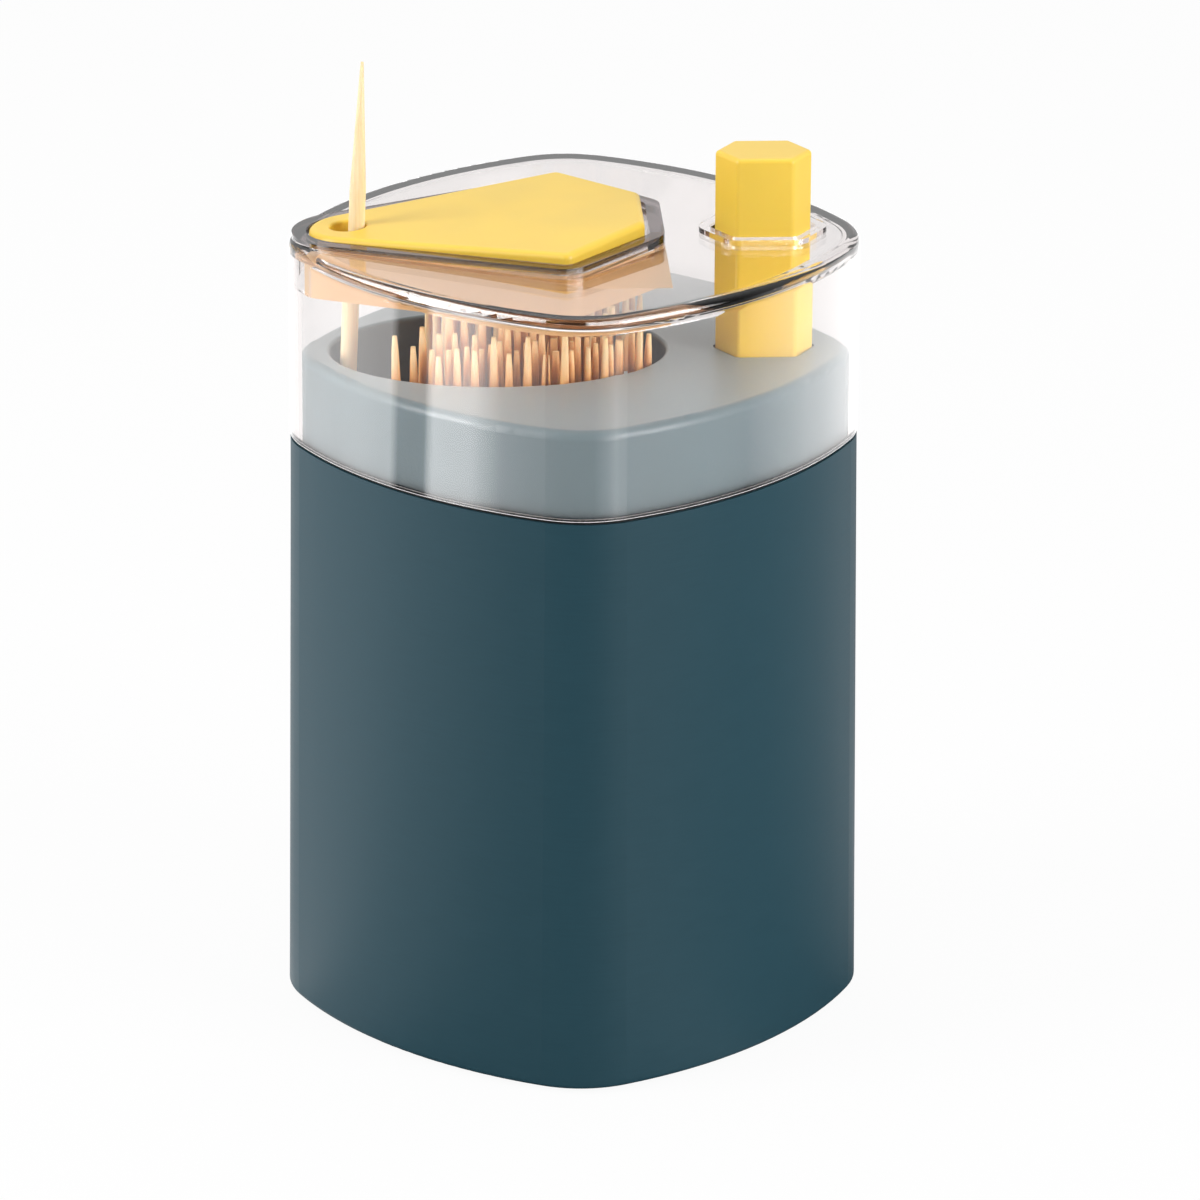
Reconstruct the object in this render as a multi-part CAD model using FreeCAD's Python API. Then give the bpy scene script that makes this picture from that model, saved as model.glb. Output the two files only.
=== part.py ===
import FreeCAD, Part
import math
import os

from FreeCAD import Placement, Rotation, Vector

# A press-to-pop toothpick dispenser, in millimetres, +Z up.
# The origin is on the table, under the middle of the body.
# The plan is a square with bulged sides whose rounded corners lie on the axes:
# the dispensing hole is at the -X corner and the push button at the +X corner.

# Body outline in plan
BODY_REACH = 36.75      # middle of the body to a rounded corner
FLAT_SHARE = 0.8925     # middle of the body to the middle of a side, over the reach
CORNER_SHARE = 0.34     # radius of a corner, over the reach

# Outer shell
SHELL_RISE = 0.6        # shell's lower edge above the table
SHELL_HEIGHT = 76.6
SHELL_WALL = 1.0
SHELL_FLARE = 0.9       # how much further the shell reaches at its lower edge
SHELL_HEM = 4.0         # inward hem that carries the base plate
SHELL_EDGE = 0.7        # rounding of the lower edge

# Seat ring between shell and lid
SEAT_THICK = 0.4
SEAT_INSET = 0.35

# Inner tub
NECK_HEIGHT = 11.3      # deck above the seat ring
NECK_INSET = 2.1        # neck inside the body outline
NECK_WALL = 1.6
NECK_ROUND = 1.2
BAND_HEIGHT = 12.0      # band of the tub that fits inside the shell's mouth
DECK_THICK = 2.0
BIN_TIP_INSET = 5.75    # bin's tip end inside the body's corner
BIN_END_GAP = 6.35      # bin's other end to the button
BIN_WIDTH_SHARE = 0.7324  # width of the bin, over its length
BIN_WALL = 1.6
BIN_MOUTH_ROUND = 0.5
FLOOR_WALL = 1.6
FLOOR_RIDGE_HALF = 4.5  # flat ridge of the bin's floor, above the lever
FLOOR_FALL_SHARE = 0.33   # fall of the ridge, per unit towards the button
FLOOR_SIDE_SHARE = 1.2    # fall of the ridge's flanks, per unit away from it
TROUGH_DEPTH = 11.0       # level floor beside the ridge, below the ridge's high end
PILLAR_INSET = 5.93     # screw pillars inside the flat sides
PILLAR_RADIUS = 3.2
PILOT_DEPTH = 9.0

# Toothpicks
PICK_LENGTH = 65.0
PICK_RADIUS = 1.05
PICK_TAPER = 17.0
PICK_TIP_RADIUS = 0.2
PICK_PROUD = 13.9       # tips above the deck, at the lifter
PICK_PITCH = 2.6
PICK_UNEVEN = 1.8       # most that one stands higher than another on the same floor
PICK_UNEVEN_STEPS = 5
PICK_SEAT_GAP = 0.2
PICK_FAN_SHARE = 0.9    # feet of the stock drawn in to this share of the tips' spread
PICK_SWIRL_DEG = 5.0
PICK_WALL_GAP = 0.35
PICK_WALL_ROOM = 0.9    # dispensed toothpick to the bin's tip end, at the top of its lower taper
PICK_HOLE_SHIFT = 1.1   # its axis from the middle of the dispensing hole
STOCK_KEEP_OUT = 2.9    # stock kept this far from the lifter's axis
EMPTIED_DEPTH = 7.5     # the ridge's high end is empty, down to this far below it

# Free pocket among the toothpicks, where more are dropped in
POCKET_INSET = 7.6      # middle of the pocket inside the bin's end
POCKET_HALF = 3.4

# Base
BASE_THICK = 1.8
BASE_GAP = 0.25
FOOT_RADIUS = 4.5
FOOT_INSET = 15.75      # middle of a foot inside the body's corner

# Screws
SCREW_RADIUS = 1.1
SCREW_HEAD_RADIUS = 2.3
SCREW_HEAD_HEIGHT = 1.1
SCREW_SLOT = 0.6
SCREW_LENGTH = 9.5
SCREW_HOLE_GAP = 0.15
SCREW_BITE_GAP = 0.03
BRACKET_SCREW_LENGTH = 3.2

# Clear lid
LID_HEIGHT = 26.7
LID_WALL = 1.6
LID_ROOF = 1.8
LID_ROUND = 1.2
LID_INNER_ROUND = 0.9
WELL_DEPTH = 6.3        # underside of the well below the lid's top
WELL_BAND = 1.9         # wall of the raised collar round the cover
WELL_LEDGE = 1.2        # inward ledge that the cover stands on
WELL_LEDGE_THICK = 0.9
WELL_TIP_RISE = 0.3     # collar above the lid, at its tip
WELL_END_NOTCH = 0.3    # nail gap behind the cover, besides its play
WELL_SIDE_MARGIN = 0.3  # collar inside the lid's outline at the tip
LIP_RISE = 0.7
LIP_BAND = 1.4
LIP_HOLE_GAP = 0.7

# Kite-shaped cover
KITE_APEX_PROUD = 5.55  # where the two long sides would meet, outside the body's corner
KITE_END_GAP = 9.25     # blunt end to the button
KITE_WIDE_SHARE = 0.8   # tip to wide corners, over the cover's length
KITE_WIDTH_SHARE = 0.3667  # half of the widest width, over the cover's length
KITE_END_SHARE = 0.3556  # width of the blunt end, over the widest width
KITE_TIP_RADIUS = 5.85
KITE_CORNER_RADIUS = 1.2
KITE_GAP = 0.35
KITE_THICK = 2.4
KITE_RECESS = 1.0       # hollow in the cover's underside
KITE_BORDER = 2.6       # full-thickness border round that hollow
KITE_PROUD = 0.1        # cover's top above the collar, at the tip
KITE_SLOPE_SHARE = 0.058  # rise of the cover, per unit towards the button
COLLAR_SLOPE_SHARE = 0.029
KITE_ROUND = 0.8
HOLE_INSET = 7.65       # middle of the dispensing hole inside the body's corner
HOLE_RADIUS = 2.35
HOLE_ROUND = 0.35

# Hexagonal push button
BUTTON_INSET = 12.55    # middle of the button inside the body's corner
BUTTON_REACH = 6.25     # middle of the button to a corner
BUTTON_HALF_DEPTH = 4.55
BUTTON_PROUD = 10.8     # button's top above the lid
BUTTON_LENGTH = 36.5
BUTTON_ROUND = 0.6
BUTTON_CORNER = 0.7
BUTTON_STAYS = 0.9      # button's top above the lid when pressed
SLEEVE_GAP = 0.3
SLEEVE_WALL = 1.4
SLEEVE_DEPTH = 33.8     # hexagonal sleeve below the deck
SHELF_THICK = 1.5

# Push rod, its bush, clip and spring
ROD_RADIUS = 2.0
ROD_SOCKET = 12.0       # how deep the rod sits in the button
ROD_FIT = 0.03
BUSH_WALL = 0.9
BUSH_GAP = 0.08
BUSH_FLANGE = 4.6
BUSH_FLANGE_THICK = 0.6
CLIP_RADIUS = 3.7
CLIP_THICK = 0.9
CLIP_GROOVE = 0.4       # groove's depth
CLIP_GAP = 0.05
CLIP_PLAY = 0.2
CLIP_SLOT_SHARE = 1.5   # clip's opening, as a share of the groove's radius
SPRING_RADIUS = 3.5     # middle of the wire
SPRING_WIRE = 0.45      # wire's radius
SPRING_TURNS = 8
SPRING_END_GAP = 0.1

# Rocker lever and its fulcrum
LEVER_HALF_WIDTH = 2.6
HUB_RADIUS = 3.6
ARM_ROOT_HALF = 2.4
ARM_TIP_HALF = 0.7
NOSE_RADIUS = 1.4
NOSE_OFFSET = 1.7       # nose from the lifter's axis, at mid stroke
CONTACT_GAP = 0.25      # lever's noses below the rod and the pad
RUN_GAP = 0.3
PIN_RADIUS = 1.5
PIN_OVERHANG = 1.9      # pin beyond each ear
PIN_FIT = 0.03
PIVOT_BUSH_WALL = 0.6
PIVOT_GAP = 0.05
EAR_GAP = 0.5
EAR_THICK = 2.0
EAR_HALF_LENGTH = 4.0
EAR_HEAD = 3.3          # radius of an ear's round head
FLANGE_THICK = 1.6
FLANGE_HALF_LENGTH = 8.5
FLANGE_SCREW_OFFSET = 6.0
PIN_CLIP_RADIUS = 2.7
PIN_CLIP_THICK = 0.7

# Lifter
LIFTER_SHIFT = 0.1      # lifter's axis from the dispensing hole, towards the tip
LIFTER_RADIUS = 1.3
LIFTER_GUIDE_GAP = 0.25
LIFTER_TIP_LENGTH = 4.0
LIFTER_TIP_DIMPLE = 0.9
LIFTER_TIP_RIM = 0.25
LIFTER_SPIGOT = 0.7     # spigot that joins tip and rod
LIFTER_SPIGOT_LENGTH = 2.0
LIFTER_SUNK = 1.0       # lifter's top below the floor at rest
PAD_RADIUS = 3.8
PAD_THICK = 1.5
GUIDE_WALL = 1.2
GUIDE_GAP = 0.25
GUIDE_SLOT_GAP = 0.6

# Overrun of every cut, and the tolerance for finding edges
OVER = 1.0
EDGE_TOLERANCE = 0.001

# Places in plan, worked out from the body's reach
BODY_FLAT = FLAT_SHARE * BODY_REACH
BODY_CORNER = CORNER_SHARE * BODY_REACH
BUTTON_X = BODY_REACH - BUTTON_INSET
HOLE_X = BODY_REACH - HOLE_INSET
LIFTER_X = HOLE_X + LIFTER_SHIFT
BIN_TIP_X = BIN_TIP_INSET - BODY_REACH
BIN_END_X = BUTTON_X - BUTTON_REACH - BIN_END_GAP
BIN_X = (BIN_TIP_X + BIN_END_X) / 2
BIN_HALF_LENGTH = (BIN_END_X - BIN_TIP_X) / 2
BIN_HALF_WIDTH = BIN_WIDTH_SHARE * BIN_HALF_LENGTH
POCKET_X = BIN_END_X - POCKET_INSET
PILLAR_OFFSET = (BODY_FLAT - PILLAR_INSET) / math.sqrt(2)
FOOT_OFFSET = BODY_REACH - FOOT_INSET
KITE_APEX = BODY_REACH + KITE_APEX_PROUD
KITE_END_X = BUTTON_X - BUTTON_REACH - KITE_END_GAP
KITE_LENGTH = KITE_APEX + KITE_END_X
KITE_WIDE_X = KITE_APEX - KITE_WIDE_SHARE * KITE_LENGTH
KITE_HALF_WIDTH = KITE_WIDTH_SHARE * KITE_LENGTH
KITE_END_HALF = KITE_END_SHARE * KITE_HALF_WIDTH

# Levels, from the table up
SHELL_TOP = SHELL_RISE + SHELL_HEIGHT
LID_FOOT = SHELL_TOP + SEAT_THICK
LID_TOP = LID_FOOT + LID_HEIGHT
DECK = LID_FOOT + NECK_HEIGHT
PLATE_FOOT = SHELL_RISE + SHELL_WALL
PLATE_TOP = PLATE_FOOT + BASE_THICK
WELL_FOOT = LID_TOP - WELL_DEPTH
SHELF_TOP = DECK - SLEEVE_DEPTH + SHELF_THICK
SHELF_FOOT = DECK - SLEEVE_DEPTH
BUTTON_TOP = LID_TOP + BUTTON_PROUD
BUTTON_TRAVEL = BUTTON_PROUD - BUTTON_STAYS
BUTTON_FOOT = BUTTON_TOP - BUTTON_LENGTH
FLOOR_TOP = DECK + PICK_PROUD - PICK_LENGTH

# Lever train, worked out from the room between base plate and bin floor
PAD_INNER_X = -LIFTER_X + PAD_RADIUS
FLOOR_UNDER_PAD = FLOOR_TOP - FLOOR_FALL_SHARE * (PAD_INNER_X - BIN_TIP_X) - FLOOR_WALL
NOSE_LOW = PLATE_TOP + RUN_GAP + NOSE_RADIUS
NOSE_HIGH = FLOOR_UNDER_PAD - RUN_GAP - PAD_THICK - CONTACT_GAP - NOSE_RADIUS
LIFT = NOSE_HIGH - NOSE_LOW
LEVER_SPAN = BUTTON_X + LIFTER_X - NOSE_OFFSET
HALF_ROCK = 2 * math.atan((LIFT + BUTTON_TRAVEL) / (4 * LEVER_SPAN))
LONG_ARM = LIFT / 2 / math.sin(HALF_ROCK)
SHORT_ARM = BUTTON_TRAVEL / 2 / math.sin(HALF_ROCK)
PIVOT_X = BUTTON_X - SHORT_ARM * (1 + math.cos(HALF_ROCK)) / 2
PIVOT_Z = NOSE_LOW + LIFT / 2
PAD_FOOT = NOSE_LOW + NOSE_RADIUS + CONTACT_GAP
ROD_FOOT = PIVOT_Z + BUTTON_TRAVEL / 2 + NOSE_RADIUS + CONTACT_GAP
LIFTER_TOP = FLOOR_TOP - FLOOR_FALL_SHARE * (-LIFTER_X - BIN_TIP_X) - LIFTER_SUNK
EAR_INNER = LEVER_HALF_WIDTH + EAR_GAP
EAR_OUTER = EAR_INNER + EAR_THICK
PIN_HALF = EAR_OUTER + PIN_OVERHANG

# Cover's top and underside above the tip of the kite, and its top above the hole
COVER_TIP_TOP = LID_TOP + WELL_TIP_RISE + KITE_PROUD
COVER_TIP_FOOT = COVER_TIP_TOP - KITE_THICK
HOLE_TOP = COVER_TIP_TOP + KITE_SLOPE_SHARE * (KITE_APEX - HOLE_X)

# Dispensed toothpick: it leans through the hole and stands just above the raised lifter
PICK_FOOT = LIFTER_TOP + LIFT + PICK_SEAT_GAP
PICK_HOLE_X = PICK_HOLE_SHIFT - HOLE_X
PICK_TAPER_X = BIN_TIP_X + PICK_WALL_ROOM + PICK_RADIUS
PICK_LEAN = math.atan((PICK_HOLE_X - PICK_TAPER_X) / (HOLE_TOP - PICK_FOOT - PICK_TAPER))


# Shapes shared by the pieces

def closed_prism(wire, height):
    """Upright solid on a level closed wire."""
    return Part.Face(wire).extrude(Vector(0, 0, height))


def rounded_square(grow, z):
    """Level outline of the body: four corner arcs on the axes and four bulged sides."""
    reach, flat, corner = BODY_REACH + grow, BODY_FLAT + grow, BODY_CORNER + grow
    middle = reach - corner
    bulge = flat - corner
    back = (bulge ** 2 - middle ** 2) / (math.sqrt(2) * middle - 2 * bulge)
    side_x = -back / math.sqrt(2)
    turn = math.atan2(-side_x, middle - side_x)
    edges = []
    for quarter in range(4):
        start = quarter * math.pi / 2

        def at(radius, angle, centre, axis):
            x = centre * math.cos(axis) + radius * math.cos(angle)
            y = centre * math.sin(axis) + radius * math.sin(angle)
            return Vector(x, y, z)

        before, tip, after = (at(corner, start + a, middle, start) for a in (-turn, 0.0, turn))
        side = at(flat, start + math.pi / 4, 0.0, start)
        quarter_on = start + math.pi / 2
        far = at(corner, quarter_on - turn, middle, quarter_on)
        edges.append(Part.Arc(before, tip, after).toShape())
        edges.append(Part.Arc(after, side, far).toShape())
    return Part.Wire(edges)


def offset_corners(points, grow):
    """Corners of a convex outline, counter-clockwise, whose sides move outward by grow."""
    count = len(points)
    lines = []
    for i, start in enumerate(points):
        end = points[(i + 1) % count]
        length = math.dist(start, end)
        normal = ((end[1] - start[1]) / length, (start[0] - end[0]) / length)
        lines.append((normal, normal[0] * start[0] + normal[1] * start[1] + grow))
    corners = []
    for i in range(count):
        (a, b), p = lines[i - 1]
        (c, d), q = lines[i]
        det = a * d - b * c
        corners.append(((p * d - b * q) / det, (a * q - c * p) / det))
    return corners


def rounded_polygon(points, radii, grow, z):
    """Level convex outline, grown outward, with each corner an arc of its radius plus grow."""
    corners = offset_corners(points, grow)
    count = len(corners)
    arcs = []
    for i, (x, y) in enumerate(corners):
        here = Vector(x, y, z)
        back = Vector(*corners[i - 1], z) - here
        ahead = Vector(*corners[(i + 1) % count], z) - here
        back.normalize()
        ahead.normalize()
        half = back.getAngle(ahead) / 2
        radius = max(radii[i] + grow, radii[i] / 4)
        bisector = back + ahead
        bisector.normalize()
        middle = here + bisector * (radius / math.sin(half))
        reach = radius / math.tan(half)
        arcs.append((here + back * reach, middle - bisector * radius, here + ahead * reach))
    edges = []
    for i, (start, tip, end) in enumerate(arcs):
        edges.append(Part.Arc(start, tip, end).toShape())
        edges.append(Part.LineSegment(end, arcs[(i + 1) % count][0]).toShape())
    return Part.Wire(edges)


def kite_points(end_gap=0.0):
    """Corners of the kite, from its tip, counter-clockwise."""
    end = KITE_END_X + end_gap
    return [
        (-KITE_APEX, 0.0),
        (-KITE_WIDE_X, -KITE_HALF_WIDTH),
        (end, -KITE_END_HALF),
        (end, KITE_END_HALF),
        (-KITE_WIDE_X, KITE_HALF_WIDTH),
    ]


KITE_RADII = [KITE_TIP_RADIUS] + [KITE_CORNER_RADIUS] * 4


def kite_prism(grow, low, high, end_gap=0.0):
    wire = rounded_polygon(kite_points(end_gap), KITE_RADII, grow, low)
    return closed_prism(wire, high - low)


def hexagon_prism(grow, low, high):
    """Upright prism on the button's elongated hexagon, grown outward."""
    front_half = BUTTON_REACH - BUTTON_HALF_DEPTH / math.tan(math.pi / 3)
    points = [
        (BUTTON_X - BUTTON_REACH, 0.0),
        (BUTTON_X - front_half, -BUTTON_HALF_DEPTH),
        (BUTTON_X + front_half, -BUTTON_HALF_DEPTH),
        (BUTTON_X + BUTTON_REACH, 0.0),
        (BUTTON_X + front_half, BUTTON_HALF_DEPTH),
        (BUTTON_X - front_half, BUTTON_HALF_DEPTH),
    ]
    wire = rounded_polygon(points, [BUTTON_CORNER] * 6, grow, low)
    return closed_prism(wire, high - low)


def above_slope(tip_z, slope):
    """Everything above a plane that rises from the tip of the kite towards the button."""
    far = 2 * BODY_REACH
    outline = [
        Vector(-far, -far, tip_z + slope * (KITE_APEX - far)),
        Vector(far, -far, tip_z + slope * (KITE_APEX + far)),
        Vector(far, -far, tip_z + 2 * far),
        Vector(-far, -far, tip_z + 2 * far),
    ]
    face = Part.Face(Part.makePolygon(outline + outline[:1]))
    return face.extrude(Vector(0, 2 * far, 0))


def floor_block(drop):
    """Everything below the bin's floor: a ridge that falls towards the button, in a level trough."""
    far = 2 * BODY_REACH
    top = FLOOR_TOP - drop + FLOOR_FALL_SHARE * (far + BIN_TIP_X)
    side = top - FLOOR_SIDE_SHARE * (far - FLOOR_RIDGE_HALF)
    outline = [
        Vector(-far, -far, side),
        Vector(-far, -FLOOR_RIDGE_HALF, top),
        Vector(-far, FLOOR_RIDGE_HALF, top),
        Vector(-far, far, side),
        Vector(-far, far, side - 2 * far),
        Vector(-far, -far, side - 2 * far),
    ]
    face = Part.Face(Part.makePolygon(outline + outline[:1]))
    ridge = face.extrude(Vector(2 * far, 0, -2 * far * FLOOR_FALL_SHARE))
    trough = FLOOR_TOP - TROUGH_DEPTH - drop
    level = Part.makeBox(2 * far, 2 * far, 2 * far, Vector(-far, -far, trough - 2 * far))
    return ridge.fuse(level)


def floor_level(x, y):
    """Height of the bin's floor."""
    fall = FLOOR_FALL_SHARE * (x - BIN_TIP_X)
    ridge = FLOOR_TOP - fall - FLOOR_SIDE_SHARE * max(0.0, abs(y) - FLOOR_RIDGE_HALF)
    return max(ridge, FLOOR_TOP - TROUGH_DEPTH)


def oval_prism(grow, low, high):
    """Upright oval prism of the bin, grown outward."""
    oval = Part.Ellipse(Vector(BIN_X, 0, low), BIN_HALF_LENGTH + grow, BIN_HALF_WIDTH + grow)
    return closed_prism(Part.Wire(oval.toShape()), high - low)


def rod(radius, low, high, x=0.0, y=0.0):
    """Upright round bar."""
    return Part.makeCylinder(radius, high - low, Vector(x, y, low))


def cross_bar(radius, x, z, low_y, high_y):
    """Round bar along Y."""
    return Part.makeCylinder(radius, high_y - low_y, Vector(x, low_y, z), Vector(0, 1, 0))


def edges_where(shape, test):
    return [edge for edge in shape.Edges if all(test(v.Point) for v in edge.Vertexes)]


def screw(x, y, under_head, length, head_down):
    """Pan-head screw with a slot; its head lies below or above the clamped face."""
    head = rod(SCREW_HEAD_RADIUS, under_head, under_head + SCREW_HEAD_HEIGHT, x, y)
    slot = Part.makeBox(
        2 * SCREW_HEAD_RADIUS + 2 * OVER, SCREW_SLOT, SCREW_SLOT + OVER,
        Vector(x - SCREW_HEAD_RADIUS - OVER, y - SCREW_SLOT / 2, under_head + SCREW_HEAD_HEIGHT - SCREW_SLOT),
    )
    shank = rod(SCREW_RADIUS, under_head - length, under_head, x, y)
    solid = head.cut(slot).fuse(shank).removeSplitter()
    if head_down:
        solid.rotate(Vector(x, y, under_head), Vector(1, 0, 0), 180)
    return solid


def pillar_places():
    return [(sx * PILLAR_OFFSET, sy * PILLAR_OFFSET) for sx in (-1, 1) for sy in (-1, 1)]


# Casing

def flare_at(z):
    """How far the shell reaches past the body outline at a height."""
    return SHELL_FLARE * (SHELL_TOP - z) / SHELL_HEIGHT


def flared_prism(inset, low, high):
    ends = [rounded_square(flare_at(z) - inset, z) for z in (low, high)]
    return Part.makeLoft(ends, True, True)


def outer_shell():
    outside = flared_prism(0.0, SHELL_RISE, SHELL_TOP)
    foot_edges = edges_where(outside, lambda p: abs(p.z - SHELL_RISE) < EDGE_TOLERANCE)
    outside = outside.makeFillet(SHELL_EDGE, foot_edges)
    inside = flared_prism(SHELL_WALL, PLATE_FOOT, SHELL_TOP + OVER)
    opening = closed_prism(
        rounded_square(flare_at(SHELL_RISE) - SHELL_HEM, SHELL_RISE - OVER), SHELL_WALL + 2 * OVER
    )
    return outside.cut(inside).cut(opening)


def seat_ring():
    outside = closed_prism(rounded_square(-SEAT_INSET, SHELL_TOP), SEAT_THICK)
    inside = closed_prism(rounded_square(BASE_GAP - NECK_INSET, SHELL_TOP - OVER), SEAT_THICK + 2 * OVER)
    return outside.cut(inside)


def inner_tub():
    band_foot = SHELL_TOP - BAND_HEIGHT
    neck = closed_prism(rounded_square(-NECK_INSET, band_foot), DECK - band_foot)
    neck = neck.makeFillet(NECK_ROUND, edges_where(neck, lambda p: abs(p.z - DECK) < EDGE_TOLERANCE))
    band = closed_prism(rounded_square(-SHELL_WALL - BASE_GAP, band_foot), BAND_HEIGHT)
    inner = rounded_square(-NECK_INSET - NECK_WALL, band_foot - OVER)
    hollow = closed_prism(inner, DECK - DECK_THICK - band_foot + OVER)
    bin_low = PLATE_TOP + OVER
    cup = oval_prism(BIN_WALL, bin_low, DECK - DECK_THICK / 2).cut(floor_block(FLOOR_WALL))
    sleeve = hexagon_prism(SLEEVE_GAP + SLEEVE_WALL, SHELF_FOOT, DECK - DECK_THICK / 2)
    tub = neck.fuse(band).cut(hollow).fuse([cup, sleeve])
    pillars = [rod(PILLAR_RADIUS, PLATE_TOP, DECK - DECK_THICK / 2, x, y) for x, y in pillar_places()]
    tub = tub.fuse(pillars)
    tub = tub.cut(oval_prism(0.0, bin_low - OVER, DECK + OVER).cut(floor_block(0.0)))
    tub = tub.cut(hexagon_prism(SLEEVE_GAP, SHELF_TOP, DECK + OVER))
    bush_hole = ROD_RADIUS + BUSH_GAP + BUSH_WALL + ROD_FIT
    tub = tub.cut(rod(bush_hole, SHELF_FOOT - OVER, SHELF_TOP + OVER, BUTTON_X))
    guide_hole = LIFTER_RADIUS + LIFTER_GUIDE_GAP
    tub = tub.cut(rod(guide_hole, FLOOR_UNDER_PAD - OVER, FLOOR_TOP + OVER, -LIFTER_X))
    pilots = [
        rod(SCREW_RADIUS + SCREW_BITE_GAP, PLATE_TOP - OVER, PLATE_TOP + PILOT_DEPTH, x, y)
        for x, y in pillar_places()
    ]
    tub = tub.cut(pilots).removeSplitter()
    mouth = [
        edge for edge in tub.Edges
        if abs(edge.BoundBox.ZMin - DECK) < EDGE_TOLERANCE
        and abs(edge.BoundBox.ZMax - DECK) < EDGE_TOLERANCE
        and abs(edge.BoundBox.XLength - 2 * BIN_HALF_LENGTH) < EDGE_TOLERANCE
    ]
    return tub.makeFillet(BIN_MOUTH_ROUND, mouth)


def lifter_guide():
    """Upright channel that keeps the lifter's pad in line, open towards the lever."""
    inner = PAD_RADIUS + GUIDE_GAP
    top = FLOOR_UNDER_PAD - RUN_GAP
    channel = rod(inner + GUIDE_WALL, PLATE_TOP - BASE_THICK / 2, top, -LIFTER_X)
    channel = channel.cut(rod(inner, PLATE_TOP - BASE_THICK, top + OVER, -LIFTER_X))
    half = LEVER_HALF_WIDTH + GUIDE_SLOT_GAP
    slot = Part.makeBox(
        inner + GUIDE_WALL + OVER, 2 * half, top - PLATE_FOOT + OVER, Vector(-LIFTER_X, -half, PLATE_FOOT)
    )
    return channel.cut(slot)


def bracket_screw_places():
    return [(PIVOT_X + side * FLANGE_SCREW_OFFSET, 0.0) for side in (-1, 1)]


def base_plate():
    outline = rounded_square(flare_at(PLATE_TOP) - SHELL_WALL - BASE_GAP, PLATE_FOOT)
    plate = closed_prism(outline, BASE_THICK).fuse(lifter_guide())
    hole = SCREW_RADIUS + SCREW_HOLE_GAP
    holes = [rod(hole, PLATE_FOOT - OVER, PLATE_TOP + OVER, x, y) for x, y in pillar_places()]
    bite = SCREW_RADIUS + SCREW_BITE_GAP
    holes += [rod(bite, PLATE_FOOT - OVER, PLATE_TOP + OVER, x, y) for x, y in bracket_screw_places()]
    return plate.cut(holes).removeSplitter()


def foot(x, y):
    pad = rod(FOOT_RADIUS, 0.0, PLATE_FOOT, x, y)
    rim = edges_where(pad, lambda p: abs(p.z) < EDGE_TOLERANCE)
    return pad.makeFillet(PLATE_FOOT / 4, rim)


def base_screws():
    return Part.makeCompound(
        [screw(x, y, PLATE_FOOT, SCREW_LENGTH, True) for x, y in pillar_places()]
    )


# Lid, cover and toothpicks

def clear_lid():
    body = closed_prism(rounded_square(0.0, LID_FOOT), LID_HEIGHT)
    body = body.makeFillet(LID_ROUND, edges_where(body, lambda p: abs(p.z - LID_TOP) < EDGE_TOLERANCE))
    hollow = closed_prism(rounded_square(-LID_WALL, LID_FOOT - OVER), LID_HEIGHT - LID_ROOF + OVER)
    roof = LID_TOP - LID_ROOF
    hollow = hollow.makeFillet(LID_INNER_ROUND, edges_where(hollow, lambda p: abs(p.z - roof) < EDGE_TOLERANCE))
    body = body.cut(hollow)
    collar_top = above_slope(LID_TOP + WELL_TIP_RISE, COLLAR_SLOPE_SHARE)
    high = LID_TOP + WELL_DEPTH
    collar = kite_prism(KITE_GAP + WELL_BAND, WELL_FOOT, high, WELL_END_NOTCH).cut(collar_top)
    limit = closed_prism(rounded_square(-WELL_SIDE_MARGIN, WELL_FOOT - OVER), high - WELL_FOOT + 2 * OVER)
    collar = collar.common(limit)
    lip = hexagon_prism(LIP_HOLE_GAP + LIP_BAND, LID_TOP - LID_ROOF / 2, LID_TOP + LIP_RISE)
    lid = body.fuse([collar, lip])
    room = kite_prism(KITE_GAP, WELL_FOOT - OVER, high + OVER, WELL_END_NOTCH)
    ledge = above_slope(COVER_TIP_FOOT - WELL_LEDGE_THICK, KITE_SLOPE_SHARE)
    ledge = ledge.cut(above_slope(COVER_TIP_FOOT, KITE_SLOPE_SHARE))
    lid = lid.cut(room.cut(ledge)).cut(kite_prism(-WELL_LEDGE, WELL_FOOT - OVER, high + OVER))
    lid = lid.cut(hexagon_prism(LIP_HOLE_GAP, LID_TOP - 2 * LID_ROOF, LID_TOP + 2 * LIP_RISE))
    return lid.removeSplitter()


def kite_cover():
    """Sloping plate that lies on the well's ledge, hollowed a little underneath."""
    high = LID_TOP + WELL_DEPTH
    body = kite_prism(0.0, WELL_FOOT, high).common(above_slope(COVER_TIP_FOOT, KITE_SLOPE_SHARE))
    body = body.cut(above_slope(COVER_TIP_TOP, KITE_SLOPE_SHARE))

    def on_top(p):
        return abs(p.z - COVER_TIP_TOP - KITE_SLOPE_SHARE * (p.x + KITE_APEX)) < EDGE_TOLERANCE

    body = body.makeFillet(KITE_ROUND, edges_where(body, on_top))
    hollow = kite_prism(-KITE_BORDER, WELL_FOOT, high).cut(above_slope(COVER_TIP_FOOT + KITE_RECESS, KITE_SLOPE_SHARE))
    boss = rod(HOLE_RADIUS + KITE_BORDER, WELL_FOOT, high, -HOLE_X)
    cover = body.cut(hollow.cut(boss)).cut(rod(HOLE_RADIUS, WELL_FOOT, high, -HOLE_X))
    brim = [
        edge for edge in cover.Edges
        if abs(edge.BoundBox.XLength - 2 * HOLE_RADIUS) < EDGE_TOLERANCE
        and edge.BoundBox.ZMax > COVER_TIP_TOP
    ]
    return cover.makeFillet(HOLE_ROUND, brim)


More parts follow.
